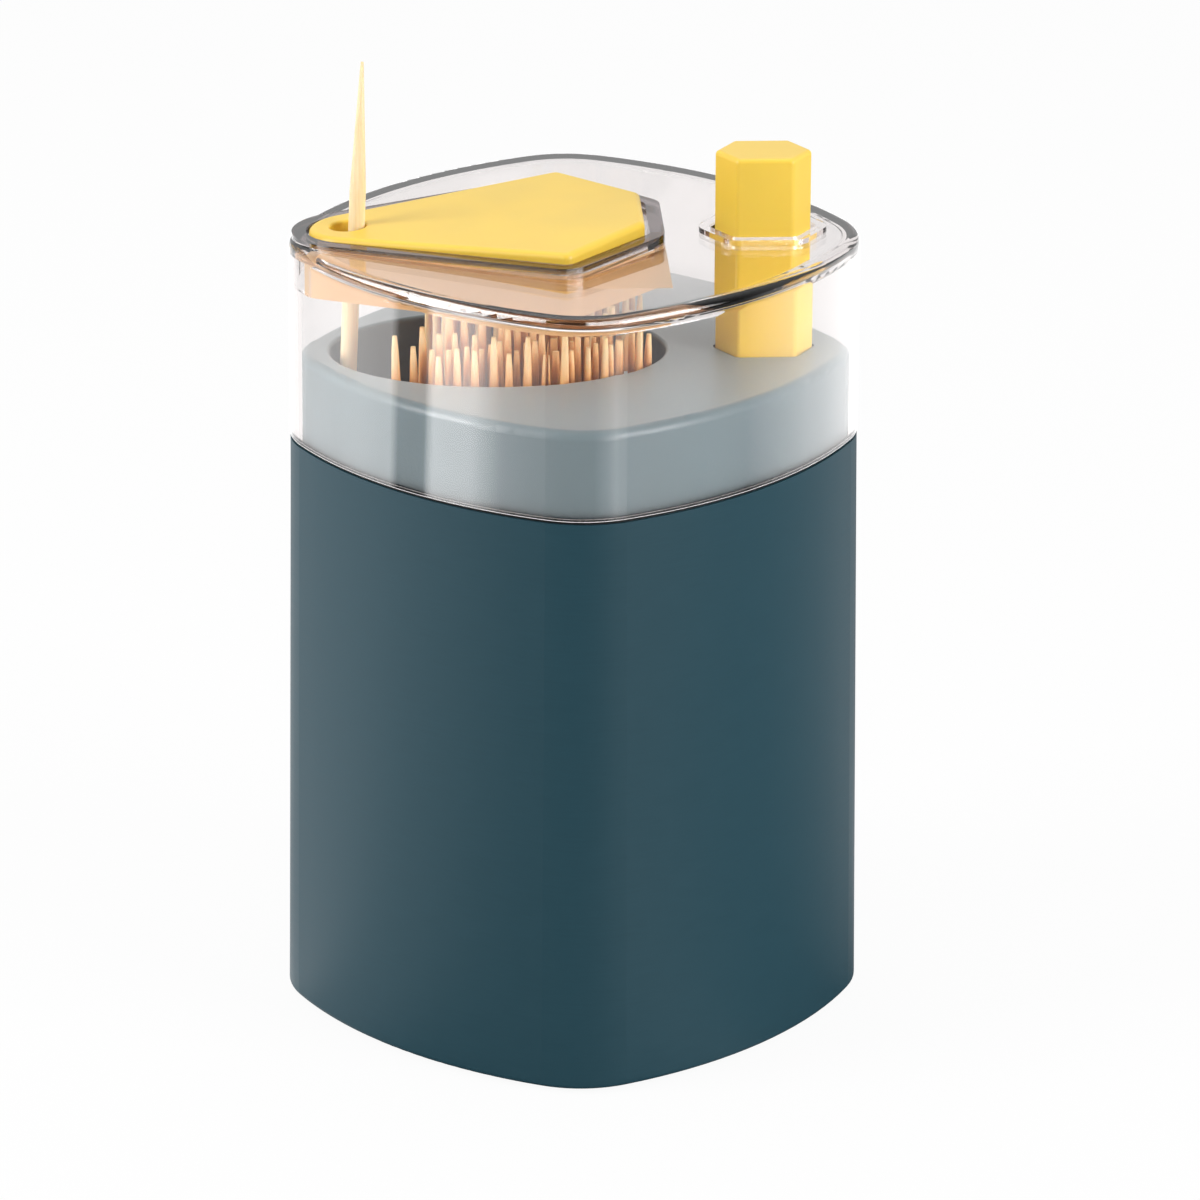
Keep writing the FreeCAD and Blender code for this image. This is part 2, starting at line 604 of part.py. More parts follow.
def toothpick():
    """Round toothpick, pointed at both ends, standing on the origin."""
    profile = [
        Vector(0, 0, 0),
        Vector(PICK_TIP_RADIUS, 0, 0),
        Vector(PICK_RADIUS, 0, PICK_TAPER),
        Vector(PICK_RADIUS, 0, PICK_LENGTH - PICK_TAPER),
        Vector(PICK_TIP_RADIUS, 0, PICK_LENGTH),
        Vector(0, 0, PICK_LENGTH),
    ]
    face = Part.Face(Part.makePolygon(profile + profile[:1]))
    return face.revolve(Vector(0, 0, 0), Vector(0, 0, 1), 360)


def dispensed_toothpick():
    pick = toothpick()
    pick.rotate(Vector(0, 0, 0), Vector(0, 1, 0), math.degrees(PICK_LEAN))
    foot_x = PICK_HOLE_X - (HOLE_TOP - PICK_FOOT) * math.tan(PICK_LEAN)
    pick.translate(Vector(foot_x, 0, PICK_FOOT))
    return pick


def kite_distance(x, y):
    """Distance outside the cover's sides, negative inside."""
    points = kite_points()
    worst = -BODY_REACH
    for i, (x0, y0) in enumerate(points):
        x1, y1 = points[(i + 1) % len(points)]
        length = math.dist((x0, y0), (x1, y1))
        worst = max(worst, ((y1 - y0) * (x - x0) - (x1 - x0) * (y - y0)) / length)
    return worst


def fits_stock(foot_point, tip_point):
    """True where a toothpick of the stock stands clear of walls, pocket, lifter and cover."""
    room = PICK_RADIUS + PICK_WALL_GAP
    for x, y, z in (foot_point, tip_point):
        along = (x - BIN_X) / (BIN_HALF_LENGTH - room)
        across = y / (BIN_HALF_WIDTH - room)
        if math.hypot(along, across) > 1:
            return False
        if math.dist((x, y), (-LIFTER_X, 0.0)) < STOCK_KEEP_OUT:
            return False
        if max(abs(x - POCKET_X), abs(y)) < POCKET_HALF + PICK_RADIUS:
            return False
    if floor_level(foot_point.x, foot_point.y) > FLOOR_TOP - EMPTIED_DEPTH:
        return False
    x, y, z = tip_point
    beside = kite_distance(x, y)
    clear_inside = beside < -WELL_LEDGE - PICK_RADIUS
    clear_outside = beside > KITE_GAP + WELL_BAND + PICK_RADIUS
    return z < WELL_FOOT - PICK_WALL_GAP or clear_inside or clear_outside


def toothpicks_in_bin():
    """Stock of toothpicks standing in the bin, their feet drawn in and slightly turned."""
    row_step = PICK_PITCH * math.sqrt(3) / 2
    rows = math.ceil(BIN_HALF_WIDTH / row_step)
    columns = math.ceil(BIN_HALF_LENGTH / PICK_PITCH) + 1
    swirl = math.radians(PICK_SWIRL_DEG)
    one = toothpick()
    stock = []
    for row in range(-rows, rows + 1):
        for column in range(-columns, columns + 1):
            dx = (column + row % 2 / 2) * PICK_PITCH
            dy = row * row_step
            fx = PICK_FAN_SHARE * (dx * math.cos(swirl) - dy * math.sin(swirl))
            fy = PICK_FAN_SHARE * (dx * math.sin(swirl) + dy * math.cos(swirl))
            lean_out = math.hypot(dx - fx, dy - fy)
            rise = math.sqrt(PICK_LENGTH ** 2 - lean_out ** 2)
            step = (3 * row + 2 * column) % PICK_UNEVEN_STEPS / (PICK_UNEVEN_STEPS - 1)
            seat = floor_level(BIN_X + fx, fy) + FLOOR_SIDE_SHARE * PICK_TIP_RADIUS
            foot_point = Vector(BIN_X + fx, fy, seat + PICK_SEAT_GAP + PICK_UNEVEN * step)
            tip_point = Vector(BIN_X + dx, dy, foot_point.z + rise)
            if not fits_stock(foot_point, tip_point):
                continue
            pick = one.copy()
            turn = Rotation(Vector(0, 0, 1), tip_point - foot_point)
            pick.Placement = Placement(foot_point, turn)
            stock.append(pick)
    return Part.makeCompound(stock)


# Push button and its rod

def hex_button():
    body = hexagon_prism(0.0, BUTTON_FOOT, BUTTON_TOP)
    body = body.makeFillet(BUTTON_ROUND, edges_where(body, lambda p: abs(p.z - BUTTON_TOP) < EDGE_TOLERANCE))
    return body.cut(rod(ROD_RADIUS + ROD_FIT, BUTTON_FOOT - OVER, BUTTON_FOOT + ROD_SOCKET, BUTTON_X))


def push_rod():
    body = rod(ROD_RADIUS, ROD_FOOT, BUTTON_FOOT + ROD_SOCKET, BUTTON_X)
    groove_top = SHELF_FOOT - CLIP_PLAY + CLIP_GAP
    groove = rod(ROD_RADIUS + OVER, groove_top - CLIP_THICK - 2 * CLIP_GAP, groove_top, BUTTON_X)
    core = rod(ROD_RADIUS - CLIP_GROOVE, ROD_FOOT, BUTTON_FOOT, BUTTON_X)
    return body.cut(groove.cut(core))


def open_clip(outer, inner, thick):
    """Flat ring with an opening at one side, level, centred on the origin, its top at zero."""
    ring = rod(outer, -thick, 0.0).cut(rod(inner, -thick - OVER, OVER))
    half = inner * CLIP_SLOT_SHARE / 2
    gap = Part.makeBox(outer + OVER, 2 * half, thick + 2 * OVER, Vector(0, -half, -thick - OVER))
    return ring.cut(gap)


def rod_clip():
    clip = open_clip(CLIP_RADIUS, ROD_RADIUS - CLIP_GROOVE + CLIP_GAP, CLIP_THICK)
    clip.translate(Vector(BUTTON_X, 0, SHELF_FOOT - CLIP_PLAY))
    return clip


def rod_bush():
    inner = ROD_RADIUS + BUSH_GAP
    sleeve = rod(inner + BUSH_WALL, SHELF_FOOT, SHELF_TOP + BUSH_FLANGE_THICK, BUTTON_X)
    flange = rod(BUSH_FLANGE, SHELF_TOP, SHELF_TOP + BUSH_FLANGE_THICK, BUTTON_X)
    bore = rod(inner, SHELF_FOOT - OVER, SHELF_TOP + BUSH_FLANGE_THICK + OVER, BUTTON_X)
    return sleeve.fuse(flange).cut(bore).removeSplitter()


def return_spring():
    """Coil spring round the rod, one unbroken wire on quarter-turn arcs."""
    low = SHELF_TOP + BUSH_FLANGE_THICK + SPRING_END_GAP + SPRING_WIRE
    high = BUTTON_FOOT - SPRING_END_GAP - SPRING_WIRE
    steps = SPRING_TURNS * 4

    def at(step):
        angle = step * math.pi / 2
        x = BUTTON_X + SPRING_RADIUS * math.cos(angle)
        return Vector(x, SPRING_RADIUS * math.sin(angle), low + (high - low) * step / steps)

    arcs = [Part.Arc(at(i), at(i + 0.5), at(i + 1)).toShape() for i in range(steps)]
    path = Part.Wire(arcs)
    ring = Part.makeCircle(SPRING_WIRE, at(0), path.Edges[0].tangentAt(path.Edges[0].FirstParameter))
    print("spring: gap between turns", round((high - low) / SPRING_TURNS - 2 * SPRING_WIRE, 3))
    return path.makePipeShell([Part.Wire(ring)], True, False)


# Lever, its fulcrum and the lifter

def fulcrum_bracket():
    flange = Part.makeBox(
        2 * FLANGE_HALF_LENGTH, 2 * EAR_OUTER, FLANGE_THICK,
        Vector(PIVOT_X - FLANGE_HALF_LENGTH, -EAR_OUTER, PLATE_TOP),
    )
    ears = []
    for low_y in (-EAR_OUTER, EAR_INNER):
        web = Part.makePolygon([
            Vector(PIVOT_X - EAR_HALF_LENGTH, low_y, PLATE_TOP),
            Vector(PIVOT_X + EAR_HALF_LENGTH, low_y, PLATE_TOP),
            Vector(PIVOT_X + EAR_HEAD, low_y, PIVOT_Z),
            Vector(PIVOT_X - EAR_HEAD, low_y, PIVOT_Z),
            Vector(PIVOT_X - EAR_HALF_LENGTH, low_y, PLATE_TOP),
        ])
        ears.append(Part.Face(web).extrude(Vector(0, EAR_THICK, 0)))
        ears.append(cross_bar(EAR_HEAD, PIVOT_X, PIVOT_Z, low_y, low_y + EAR_THICK))
    bracket = flange.fuse(ears)
    bracket = bracket.cut(cross_bar(PIN_RADIUS + PIN_FIT, PIVOT_X, PIVOT_Z, -PIN_HALF, PIN_HALF))
    hole = SCREW_RADIUS + SCREW_HOLE_GAP
    holes = [rod(hole, PLATE_TOP - OVER, PLATE_TOP + FLANGE_THICK + OVER, x, y) for x, y in bracket_screw_places()]
    return bracket.cut(holes).removeSplitter()


def bracket_screws():
    under_head = PLATE_TOP + FLANGE_THICK
    return Part.makeCompound(
        [screw(x, y, under_head, BRACKET_SCREW_LENGTH, False) for x, y in bracket_screw_places()]
    )


def pivot_pin():
    pin = cross_bar(PIN_RADIUS, PIVOT_X, PIVOT_Z, -PIN_HALF, PIN_HALF)
    for side in (-1, 1):
        start = side * (EAR_OUTER + CLIP_GAP)
        end = side * (EAR_OUTER + PIN_CLIP_THICK + 3 * CLIP_GAP)
        ring = cross_bar(PIN_RADIUS + OVER, PIVOT_X, PIVOT_Z, min(start, end), max(start, end))
        core = cross_bar(PIN_RADIUS - CLIP_GROOVE, PIVOT_X, PIVOT_Z, -PIN_HALF, PIN_HALF)
        pin = pin.cut(ring.cut(core))
    return pin


def pin_clips():
    clips = []
    for side in (-1, 1):
        clip = open_clip(PIN_CLIP_RADIUS, PIN_RADIUS - CLIP_GROOVE + CLIP_GAP, PIN_CLIP_THICK)
        clip.rotate(Vector(0, 0, 0), Vector(1, 0, 0), 90 * side)
        clip.translate(Vector(PIVOT_X, side * (EAR_OUTER + 2 * CLIP_GAP), PIVOT_Z))
        clips.append(clip)
    return Part.makeCompound(clips)


def lever_arm(length, side):
    """Tapered flat arm with a round nose, level, from the pivot along X."""
    outline = [
        Vector(0, -LEVER_HALF_WIDTH, -ARM_ROOT_HALF),
        Vector(side * length, -LEVER_HALF_WIDTH, -ARM_TIP_HALF),
        Vector(side * length, -LEVER_HALF_WIDTH, ARM_TIP_HALF),
        Vector(0, -LEVER_HALF_WIDTH, ARM_ROOT_HALF),
    ]
    arm = Part.Face(Part.makePolygon(outline + outline[:1])).extrude(Vector(0, 2 * LEVER_HALF_WIDTH, 0))
    return arm.fuse(cross_bar(NOSE_RADIUS, side * length, 0.0, -LEVER_HALF_WIDTH, LEVER_HALF_WIDTH))


def tilt_to_rest(shape):
    """Turns a level lever piece to the rest position: button end up, lifter end down."""
    shape.rotate(Vector(0, 0, 0), Vector(0, 1, 0), -math.degrees(HALF_ROCK))
    shape.translate(Vector(PIVOT_X, 0, PIVOT_Z))
    return shape


def rocker_lever():
    hub = cross_bar(HUB_RADIUS, 0.0, 0.0, -LEVER_HALF_WIDTH, LEVER_HALF_WIDTH)
    lever = hub.fuse([lever_arm(SHORT_ARM, 1), lever_arm(LONG_ARM, -1)])
    bore = PIN_RADIUS + PIVOT_GAP + PIVOT_BUSH_WALL
    lever = lever.cut(cross_bar(bore, 0.0, 0.0, -LEVER_HALF_WIDTH - OVER, LEVER_HALF_WIDTH + OVER))
    return tilt_to_rest(lever.removeSplitter())


def lever_bush():
    inner = PIN_RADIUS + PIVOT_GAP
    outer = inner + PIVOT_BUSH_WALL - PIN_FIT
    bush = cross_bar(outer, 0.0, 0.0, -LEVER_HALF_WIDTH, LEVER_HALF_WIDTH)
    bush = bush.cut(cross_bar(inner, 0.0, 0.0, -LEVER_HALF_WIDTH - OVER, LEVER_HALF_WIDTH + OVER))
    return tilt_to_rest(bush)


def lifter_pad():
    pad = rod(PAD_RADIUS, PAD_FOOT, PAD_FOOT + PAD_THICK, -LIFTER_X)
    spigot = rod(LIFTER_SPIGOT, PAD_FOOT + PAD_THICK, PAD_FOOT + PAD_THICK + LIFTER_SPIGOT_LENGTH, -LIFTER_X)
    return pad.fuse(spigot).removeSplitter()


def lifter_rod():
    low = PAD_FOOT + PAD_THICK
    high = LIFTER_TOP - LIFTER_TIP_LENGTH
    body = rod(LIFTER_RADIUS, low, high, -LIFTER_X)
    socket = LIFTER_SPIGOT + ROD_FIT
    body = body.cut(rod(socket, low - OVER, low + LIFTER_SPIGOT_LENGTH + ROD_FIT, -LIFTER_X))
    return body.cut(rod(socket, high - LIFTER_SPIGOT_LENGTH - ROD_FIT, high + OVER, -LIFTER_X))


def lifter_tip():
    """Dished cap that takes the foot of one toothpick."""
    low = LIFTER_TOP - LIFTER_TIP_LENGTH
    body = rod(LIFTER_RADIUS, low, LIFTER_TOP, -LIFTER_X)
    rim = LIFTER_RADIUS - LIFTER_TIP_RIM
    dish = Part.makeCone(0.0, rim, LIFTER_TIP_DIMPLE, Vector(-LIFTER_X, 0, LIFTER_TOP - LIFTER_TIP_DIMPLE))
    spigot = rod(LIFTER_SPIGOT, low - LIFTER_SPIGOT_LENGTH, low, -LIFTER_X)
    return body.cut(dish).fuse(spigot).removeSplitter()


PIECES = {
    "outer_shell": outer_shell,
    "seat_ring": seat_ring,
    "inner_tub": inner_tub,
    "base_plate": base_plate,
    "foot_front": lambda: foot(0.0, -FOOT_OFFSET),
    "foot_back": lambda: foot(0.0, FOOT_OFFSET),
    "foot_left": lambda: foot(-FOOT_OFFSET, 0.0),
    "foot_right": lambda: foot(FOOT_OFFSET, 0.0),
    "base_screws": base_screws,
    "clear_lid": clear_lid,
    "kite_cover": kite_cover,
    "dispensed_toothpick": dispensed_toothpick,
    "toothpicks_in_bin": toothpicks_in_bin,
    "hex_button": hex_button,
    "push_rod": push_rod,
    "rod_clip": rod_clip,
    "rod_bush": rod_bush,
    "return_spring": return_spring,
    "fulcrum_bracket": fulcrum_bracket,
    "bracket_screws": bracket_screws,
    "pivot_pin": pivot_pin,
    "pin_clips": pin_clips,
    "rocker_lever": rocker_lever,
    "lever_bush": lever_bush,
    "lifter_pad": lifter_pad,
    "lifter_rod": lifter_rod,
    "lifter_tip": lifter_tip,
}


def main():
    os.makedirs("parts", exist_ok=True)
    for name, make in PIECES.items():
        shape = make()
        solids = len(shape.Solids)
        print(f"{name}: {solids} solid(s), {shape.Volume:.1f} mm3, valid {shape.isValid()}")
        shape.exportStep(f"parts/{name}.step")
    print("levels: shell top", SHELL_TOP, "lid top", LID_TOP, "deck", DECK, "floor", FLOOR_TOP)
    print("lever: lift", LIFT, "half rock deg", math.degrees(HALF_ROCK), "pivot", PIVOT_X, PIVOT_Z)


main()
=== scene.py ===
import math
import random

import bmesh
import bpy
from bpy.props import FloatProperty, FloatVectorProperty, PointerProperty
from mathutils import Matrix, Vector


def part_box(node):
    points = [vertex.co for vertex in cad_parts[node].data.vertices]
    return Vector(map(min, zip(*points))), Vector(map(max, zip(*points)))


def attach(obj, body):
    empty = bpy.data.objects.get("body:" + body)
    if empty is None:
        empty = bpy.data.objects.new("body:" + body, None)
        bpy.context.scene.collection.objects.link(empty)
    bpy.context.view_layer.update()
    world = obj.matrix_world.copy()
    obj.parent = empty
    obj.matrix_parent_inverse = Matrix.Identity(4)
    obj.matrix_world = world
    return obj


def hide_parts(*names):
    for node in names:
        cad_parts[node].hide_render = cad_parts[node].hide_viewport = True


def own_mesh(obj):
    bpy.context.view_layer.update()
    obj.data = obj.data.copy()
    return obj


bl_info = {
    "name": "Toothpick Dispenser",
    "version": (1, 0, 0),
    "blender": (4, 5, 0),
    "location": "3D View > Sidebar > Dispenser",
    "description": "Dresses a press-to-pop toothpick dispenser and sets its studio",
    "category": "Object",
}

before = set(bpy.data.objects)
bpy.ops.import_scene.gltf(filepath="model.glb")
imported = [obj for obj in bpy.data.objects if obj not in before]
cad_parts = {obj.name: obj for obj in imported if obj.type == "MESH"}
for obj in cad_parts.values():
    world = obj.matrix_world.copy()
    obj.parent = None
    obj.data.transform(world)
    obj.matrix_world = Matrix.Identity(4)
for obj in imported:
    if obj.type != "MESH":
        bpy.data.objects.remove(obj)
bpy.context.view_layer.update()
MM = 0.001

# The studio camera, from the picture's perspective; its sensor is in millimetres, angles in radians
FRAME_PIXELS = 1200
FOCAL_PIXELS = 7157.4
SENSOR_WIDTH = 36.0
CAMERA_DISTANCE = 938.3 * MM
CAMERA_ELEVATION = 0.3523
CAMERA_AZIMUTH = -0.0431
CAMERA_ROLL = 0.0047
CAMERA_AIM = 50.0 * MM
AIM_PIXEL = (573.4, 628.7)
CAMERA_CLIP = (0.05, 20.0)

# Studio light: the sky's level on matte surfaces and the floor's own glow in the picture
DIFFUSE_SKY = 0.35
FLOOR_GLOW_SHARE = 0.94
FLOOR_HALF = 1.5

# Painted reflections: boards round the object that the floor shows to reflected rays only, lighting
# nothing: the angle they stand at in degrees, and their brightness as polished and as satin surfaces show
# them
PAINTED_BOARD_PEAK = 8.0
POLISHED_PAINTED_BOARDS = (
    (-180.0, 3.6), (-177.0, 3.8), (-174.5, 0.1), (-166.0, 0.1), (-163.5, 6.2), (-152.0, 6.0), (-143.0, 1.6),
    (-130.0, 0.4), (-115.0, 0.15), (-80.0, 0.1), (-66.0, 1.1), (-56.0, 2.3), (-44.0, 1.1), (-24.0, 0.6),
    (-8.0, 0.4), (0.0, 1.2), (15.0, 2.2), (36.0, 2.6), (60.0, 2.2), (150.0, 1.9), (163.0, 2.8), (172.0, 3.6),
    (180.0, 3.6),
)
SATIN_PAINTED_BOARDS = (
    (-180.0, 1.0), (-168.0, 0.6), (-154.0, 0.5), (-143.0, 0.3), (-130.0, 0.1), (-95.0, 0.02), (-75.0, 0.1),
    (-53.0, 0.28), (-35.0, 0.12), (-10.0, 0.08), (5.0, 0.25), (22.0, 0.45), (36.0, 0.7), (60.0, 0.35),
    (100.0, 0.4), (128.0, 0.9), (150.0, 0.8), (180.0, 1.0),
)

# Painted highlights on polished edges: window panels that only sharp reflections see, by angle in degrees,
# and by height over the horizon
HIGHLIGHT_PANEL_PEAK = 14.0
HIGHLIGHT_PANELS = (
    (-180.0, 1.0), (-142.0, 1.0), (-136.0, 0.0), (-90.0, 0.0), (-84.0, 0.9), (-20.0, 0.7), (-10.0, 0.0),
    (155.0, 0.0), (165.0, 1.0), (180.0, 1.0),
)
HIGHLIGHT_PANEL_HEIGHTS = ((0.0, 0.0), (0.12, 0.0), (0.18, 1.0), (0.74, 1.0), (0.82, 0.0), (1.0, 0.0))

# The sky as mirrors show it grows from dim to full between two places from front to back, and the
# sky through the lid between two heights
MIRROR_SKY = {"From Min": -0.25, "From Max": 0.35, "To Min": 0.12, "To Max": 1.0}
BENT_SKY = {"From Min": 0.7, "From Max": 0.4, "To Min": 0.08, "To Max": 1.0}

# Softboxes: name, place, size and power; all face one place in the body
LAMPS = (
    ("key softbox", (-0.9, -0.25, 0.5), (0.5, 0.7), 7.9),
    ("fill softbox", (0.8, -0.55, 0.4), (0.5, 0.6), 8.0),
    ("top softbox", (0.0, 0.15, 0.9), (0.7, 0.7), 2.4),
)
LAMP_TARGET = (0.0, 0.0, 0.05)

# Lid: its flat top, and the foot of the well in it. The kite outside the well's wall: where its two
# long sides would meet, its nose, their half-width per unit of length, its widest half and its end.
# The margins tell the well's walls and the lid's foot from the faces next to them
LID_TOP = 104.3 * MM
WELL_FOOT = 98.0 * MM
WELL_APEX = -47.9 * MM
WELL_NOSE = -33.0 * MM
WELL_SPREAD = 0.458
WELL_HALF = 23.0 * MM
WELL_END = 11.4 * MM
WALL_MARGIN = 0.1 * MM
FOOT_MARGIN = 0.05 * MM

# Eroded front walls of the well: gloss, what they let through, and the light that they scatter. Both tans
# are painted light, the glow of the yellow cover and the sticks, not the colour of the plastic
WELL_ROUGHNESS = 0.45
WELL_PAINTED_LIGHT_TINT = "#EDC386"
FROST_PAINTED_LIGHT_COLOUR = "#F2CB92"
FROST_SHARE = 0.45

# Collar, the raised edge round the well: its top over the middle of the body and its slope along
# the kite, and how far under that top the painted shade on its plastic starts and is full. The dark
# colour is painted shade, not the colour of the plastic
COLLAR_TOP = 105.83 * MM
COLLAR_SLOPE_SHARE = 0.029
COLLAR_DARK_FROM = 1.0 * MM
COLLAR_DARK_FULL = 0.6 * MM
COLLAR_MARGIN = 0.03 * MM
COLLAR_PAINTED_SHADE = "#4A4042"

# Smoke of the lid's plastic, what it leaves of the light in a shadow, and the lid's matt foot
SMOKE_DENSITY = 150.0
SHADE_TINT = (0.90, 0.88, 0.87)
MATT_WHITE = (0.86, 0.86, 0.86)

# Slow waves of the lid's moulding
WAVE_LENGTH = 14.0 * MM
WAVE_STRENGTH = 0.3
WAVE_DEPTH = 0.02 * MM

# How much darker and lighter than its colour a coloured surface gets in places
TONE_LOW = 0.95
TONE_HIGH = 1.04

# Brushed streaks of the shell: their length over their spacing, their gloss and their depth
STREAK_STRETCH = 12
STREAK_GLOSS = {"To Min": 0.34, "To Max": 0.44}
STREAK_STRENGTH = 0.03
STREAK_DEPTH = 0.02 * MM

# Grain of moulded plastic, its larger clouds as a share of the grain's scale, and its scatter
PEEL = 0.5 * MM
PEEL_STRENGTH = 0.15
PEEL_DEPTH = 0.01 * MM
CLOUD_SHARE = 0.03
PLASTIC_SCATTER = 1.5 * MM
PLASTIC_SCATTER_SHARES = (1.0, 0.6, 0.2)

# Shade of a deep hollow, and of sticks in a bundle, by how open the place is
HOLLOW_SHADES = ((0.6, (0.04, 0.012, 0.006)), (0.96, (1.0, 1.0, 1.0)))
CROWD_SHADES = ((0.1, (0.3, 0.1, 0.03)), (0.42, (0.92, 0.5, 0.2)), (0.8, (1.0, 0.94, 0.84)))

# Fibres of bamboo: their length over their spacing, how dark they get, their depth and scatter
FIBRE_STRETCH = 40
FIBRE_LOW_SHARES = (0.92, 0.84, 0.70)
FIBRE_STRENGTH = 0.3
FIBRE_DEPTH = 0.04 * MM
BAMBOO_SCATTER = 0.8 * MM
BAMBOO_SCATTER_SHARES = (1.0, 0.5, 0.25)

# Dust on rubber and lathe lines on metal
DUST = 0.6 * MM
LATHE_LINE = 0.2 * MM

# The tub's bin reads as deep over this distance, and sticks as crowded over this one
BIN_SHADE_REACH = 60.0 * MM
CROWD_REACH = 5.0 * MM

# Stock of toothpicks, in millimetres: its rows, how far a stick strays from its place and stands
# up over the floor, and how far the feet draw together
STOCK_SEED = 11
STOCK_ROWS = range(-7, 8)
STOCK_COLUMNS = range(-10, 11)
STOCK_PITCH = 2.2
STOCK_WANDER = 0.22
STOCK_UNEVEN = 3.5
STOCK_FEET_SHARE = 0.88

# Sticks are used up where the floor lies less than this under its top. At the end by the lifter
# few are left: low ones, in front, where the floor is deeper
EMPTIED_DEPTH = 7.6
SPARSE_END = -19.0
SPARSE_DEPTH = 8.4
SPARSE_EVENNESS = 3

# Plan of the bin and its floor, in millimetres
BIN_MIDDLE = -9.7
BIN_HALF_LENGTH = 21.3
BIN_HALF_WIDTH = 15.6
BIN_FLOOR_TOP = 37.8
BIN_TIP = -31.0
FLOOR_FALL_SHARE = 0.33
FLOOR_SIDE_SHARE = 1.2
FLOOR_RIDGE_HALF = 4.5
TROUGH_DEPTH = 11.0

# One stick: its radius by height, and the room that it needs, in millimetres
PICK_LENGTH = 65.0
PICK_SIDES = 10
PICK_PROFILE = ((0.0, 0.3), (2.0, 0.45), (17.0, 1.0), (48.0, 1.0), (63.0, 0.45), (65.0, 0.3))
PICK_ROOM = 1.05
TIP_ROOM = 0.6
WALL_ROOM = 0.3
FLOOR_ROOM = 0.4

# The lifter's place in the bin, and the pocket left free for refilling
LIFTER_AT = -29.2
LIFTER_ROOM = 2.9
POCKET_AT = 4.0
POCKET_HALF = 3.4


def linear(code):
    """Linear colour of an sRGB hex code."""
    channels = [int(code[i:i + 2], 16) / 255 for i in (1, 3, 5)]
    return tuple(c / 12.92 if c <= 0.04045 else ((c + 0.055) / 1.055) ** 2.4 for c in channels)


def add(tree, kind, inputs=None, settings=None, stops=None):
    """Adds a node with its settings. An input is linked where it is given a node, whose first
    output it takes, or a socket, and holds the given value otherwise. Stops are the places and
    linear colours of a colour ramp."""
    node = tree.nodes.new(kind)
    for name, value in (settings or {}).items():
        setattr(node, name, value)
    for name, source in (inputs or {}).items():
        if isinstance(source, bpy.types.Node):
            source = source.outputs[0]
        if isinstance(source, bpy.types.NodeSocket):
            tree.links.new(source, node.inputs[name])
        else:
            node.inputs[name].default_value = source
    if stops:
        elements = node.color_ramp.elements
        elements.remove(elements[-1])
        for number, (place, colour) in enumerate(stops):
            stop = elements.new(place) if number else elements[0]
            stop.position = place
            stop.color = (*colour, 1.0)
    return node


def new_material(name):
    """Empty material, and the node tree to fill."""
    material = bpy.data.materials.new(name)
    material.use_nodes = True
    material.node_tree.nodes.clear()
    return material, material.node_tree


def spaced(tree, across, along=None):
    """Object coordinates counted in steps of a real spacing, with another spacing upward."""
    place = add(tree, "ShaderNodeTexCoord")
    scale = (1 / across, 1 / across, 1 / (along or across))
    return add(tree, "ShaderNodeMapping", {"Vector": place.outputs["Object"], "Scale": scale})


def scaled(colour, share):
    """Colour made darker or lighter by a share."""
    return [min(1.0, c * share) for c in colour]


def greys(stops, peak=1.0):
    """Stops of a colour ramp from places and brightness levels."""
    return [(place, (level / peak,) * 3) for place, level in stops]


def grey_angles(stops, peak=1.0):
    """Stops of a colour ramp round the object from angles in degrees and brightness levels."""
    return greys([(angle / 360 + 0.5, level) for angle, level in stops], peak)


class DispenserFinish(bpy.types.PropertyGroup):
    """Colours of the dispenser."""

    shell: FloatVectorProperty(
        name="Shell", description="Lacquer of the outer shell",
        subtype="COLOR", size=3, default=linear("#1D424E"))
    tub: FloatVectorProperty(
        name="Tub", description="Moulded plastic of the inner tub",
        subtype="COLOR", size=3, default=linear("#5F747B"))
    yellow: FloatVectorProperty(
        name="Yellow", description="Moulded plastic of cover and button",
        subtype="COLOR", size=3, default=linear("#EDC84A"))
    smoke: FloatVectorProperty(
        name="Smoke", description="What the lid's plastic lets through",
        subtype="COLOR", size=3, default=linear("#E4D8D5"))
    bamboo: FloatVectorProperty(
        name="Bamboo", description="Raw bamboo of the toothpicks",
        subtype="COLOR", size=3, default=linear("#F7E4BC"))


class DispenserSizes(bpy.types.PropertyGroup):
    """Sizes that only the looks use."""

    streak: FloatProperty(
        name="Streak", description="Spacing of the shell's fine level streaks",
        default=0.35 * MM, unit="LENGTH", precision=5)
    grain: FloatProperty(
        name="Grain", description="Spacing of the bamboo's fibres",
        default=0.25 * MM, unit="LENGTH", precision=5)


# Materials

def lacquered_steel(colour, streak):
    """Steel sleeve, fine-brushed level and lacquered: a soft sheen with faint level streaks."""
    material, tree = new_material("lacquered brushed steel, teal")
    streaks = add(tree, "ShaderNodeTexNoise",
                  {"Vector": spaced(tree, STREAK_STRETCH * streak, streak), "Scale": 1.0, "Detail": 4.0,
                   "Roughness": 0.65})
    tone = add(tree, "ShaderNodeValToRGB", {"Fac": streaks},
               stops=((0.3, scaled(colour, TONE_LOW)), (0.7, scaled(colour, TONE_HIGH))))
    gloss = add(tree, "ShaderNodeMapRange", {"Value": streaks, **STREAK_GLOSS})
    ridges = add(tree, "ShaderNodeBump",
                 {"Height": streaks, "Strength": STREAK_STRENGTH, "Distance": STREAK_DEPTH})
    shader = add(tree, "ShaderNodeBsdfPrincipled",
                 {"Base Color": tone, "Roughness": gloss, "Normal": ridges, "Metallic": 0.0, "IOR": 1.5})
    add(tree, "ShaderNodeOutputMaterial", {"Surface": shader})
    return material


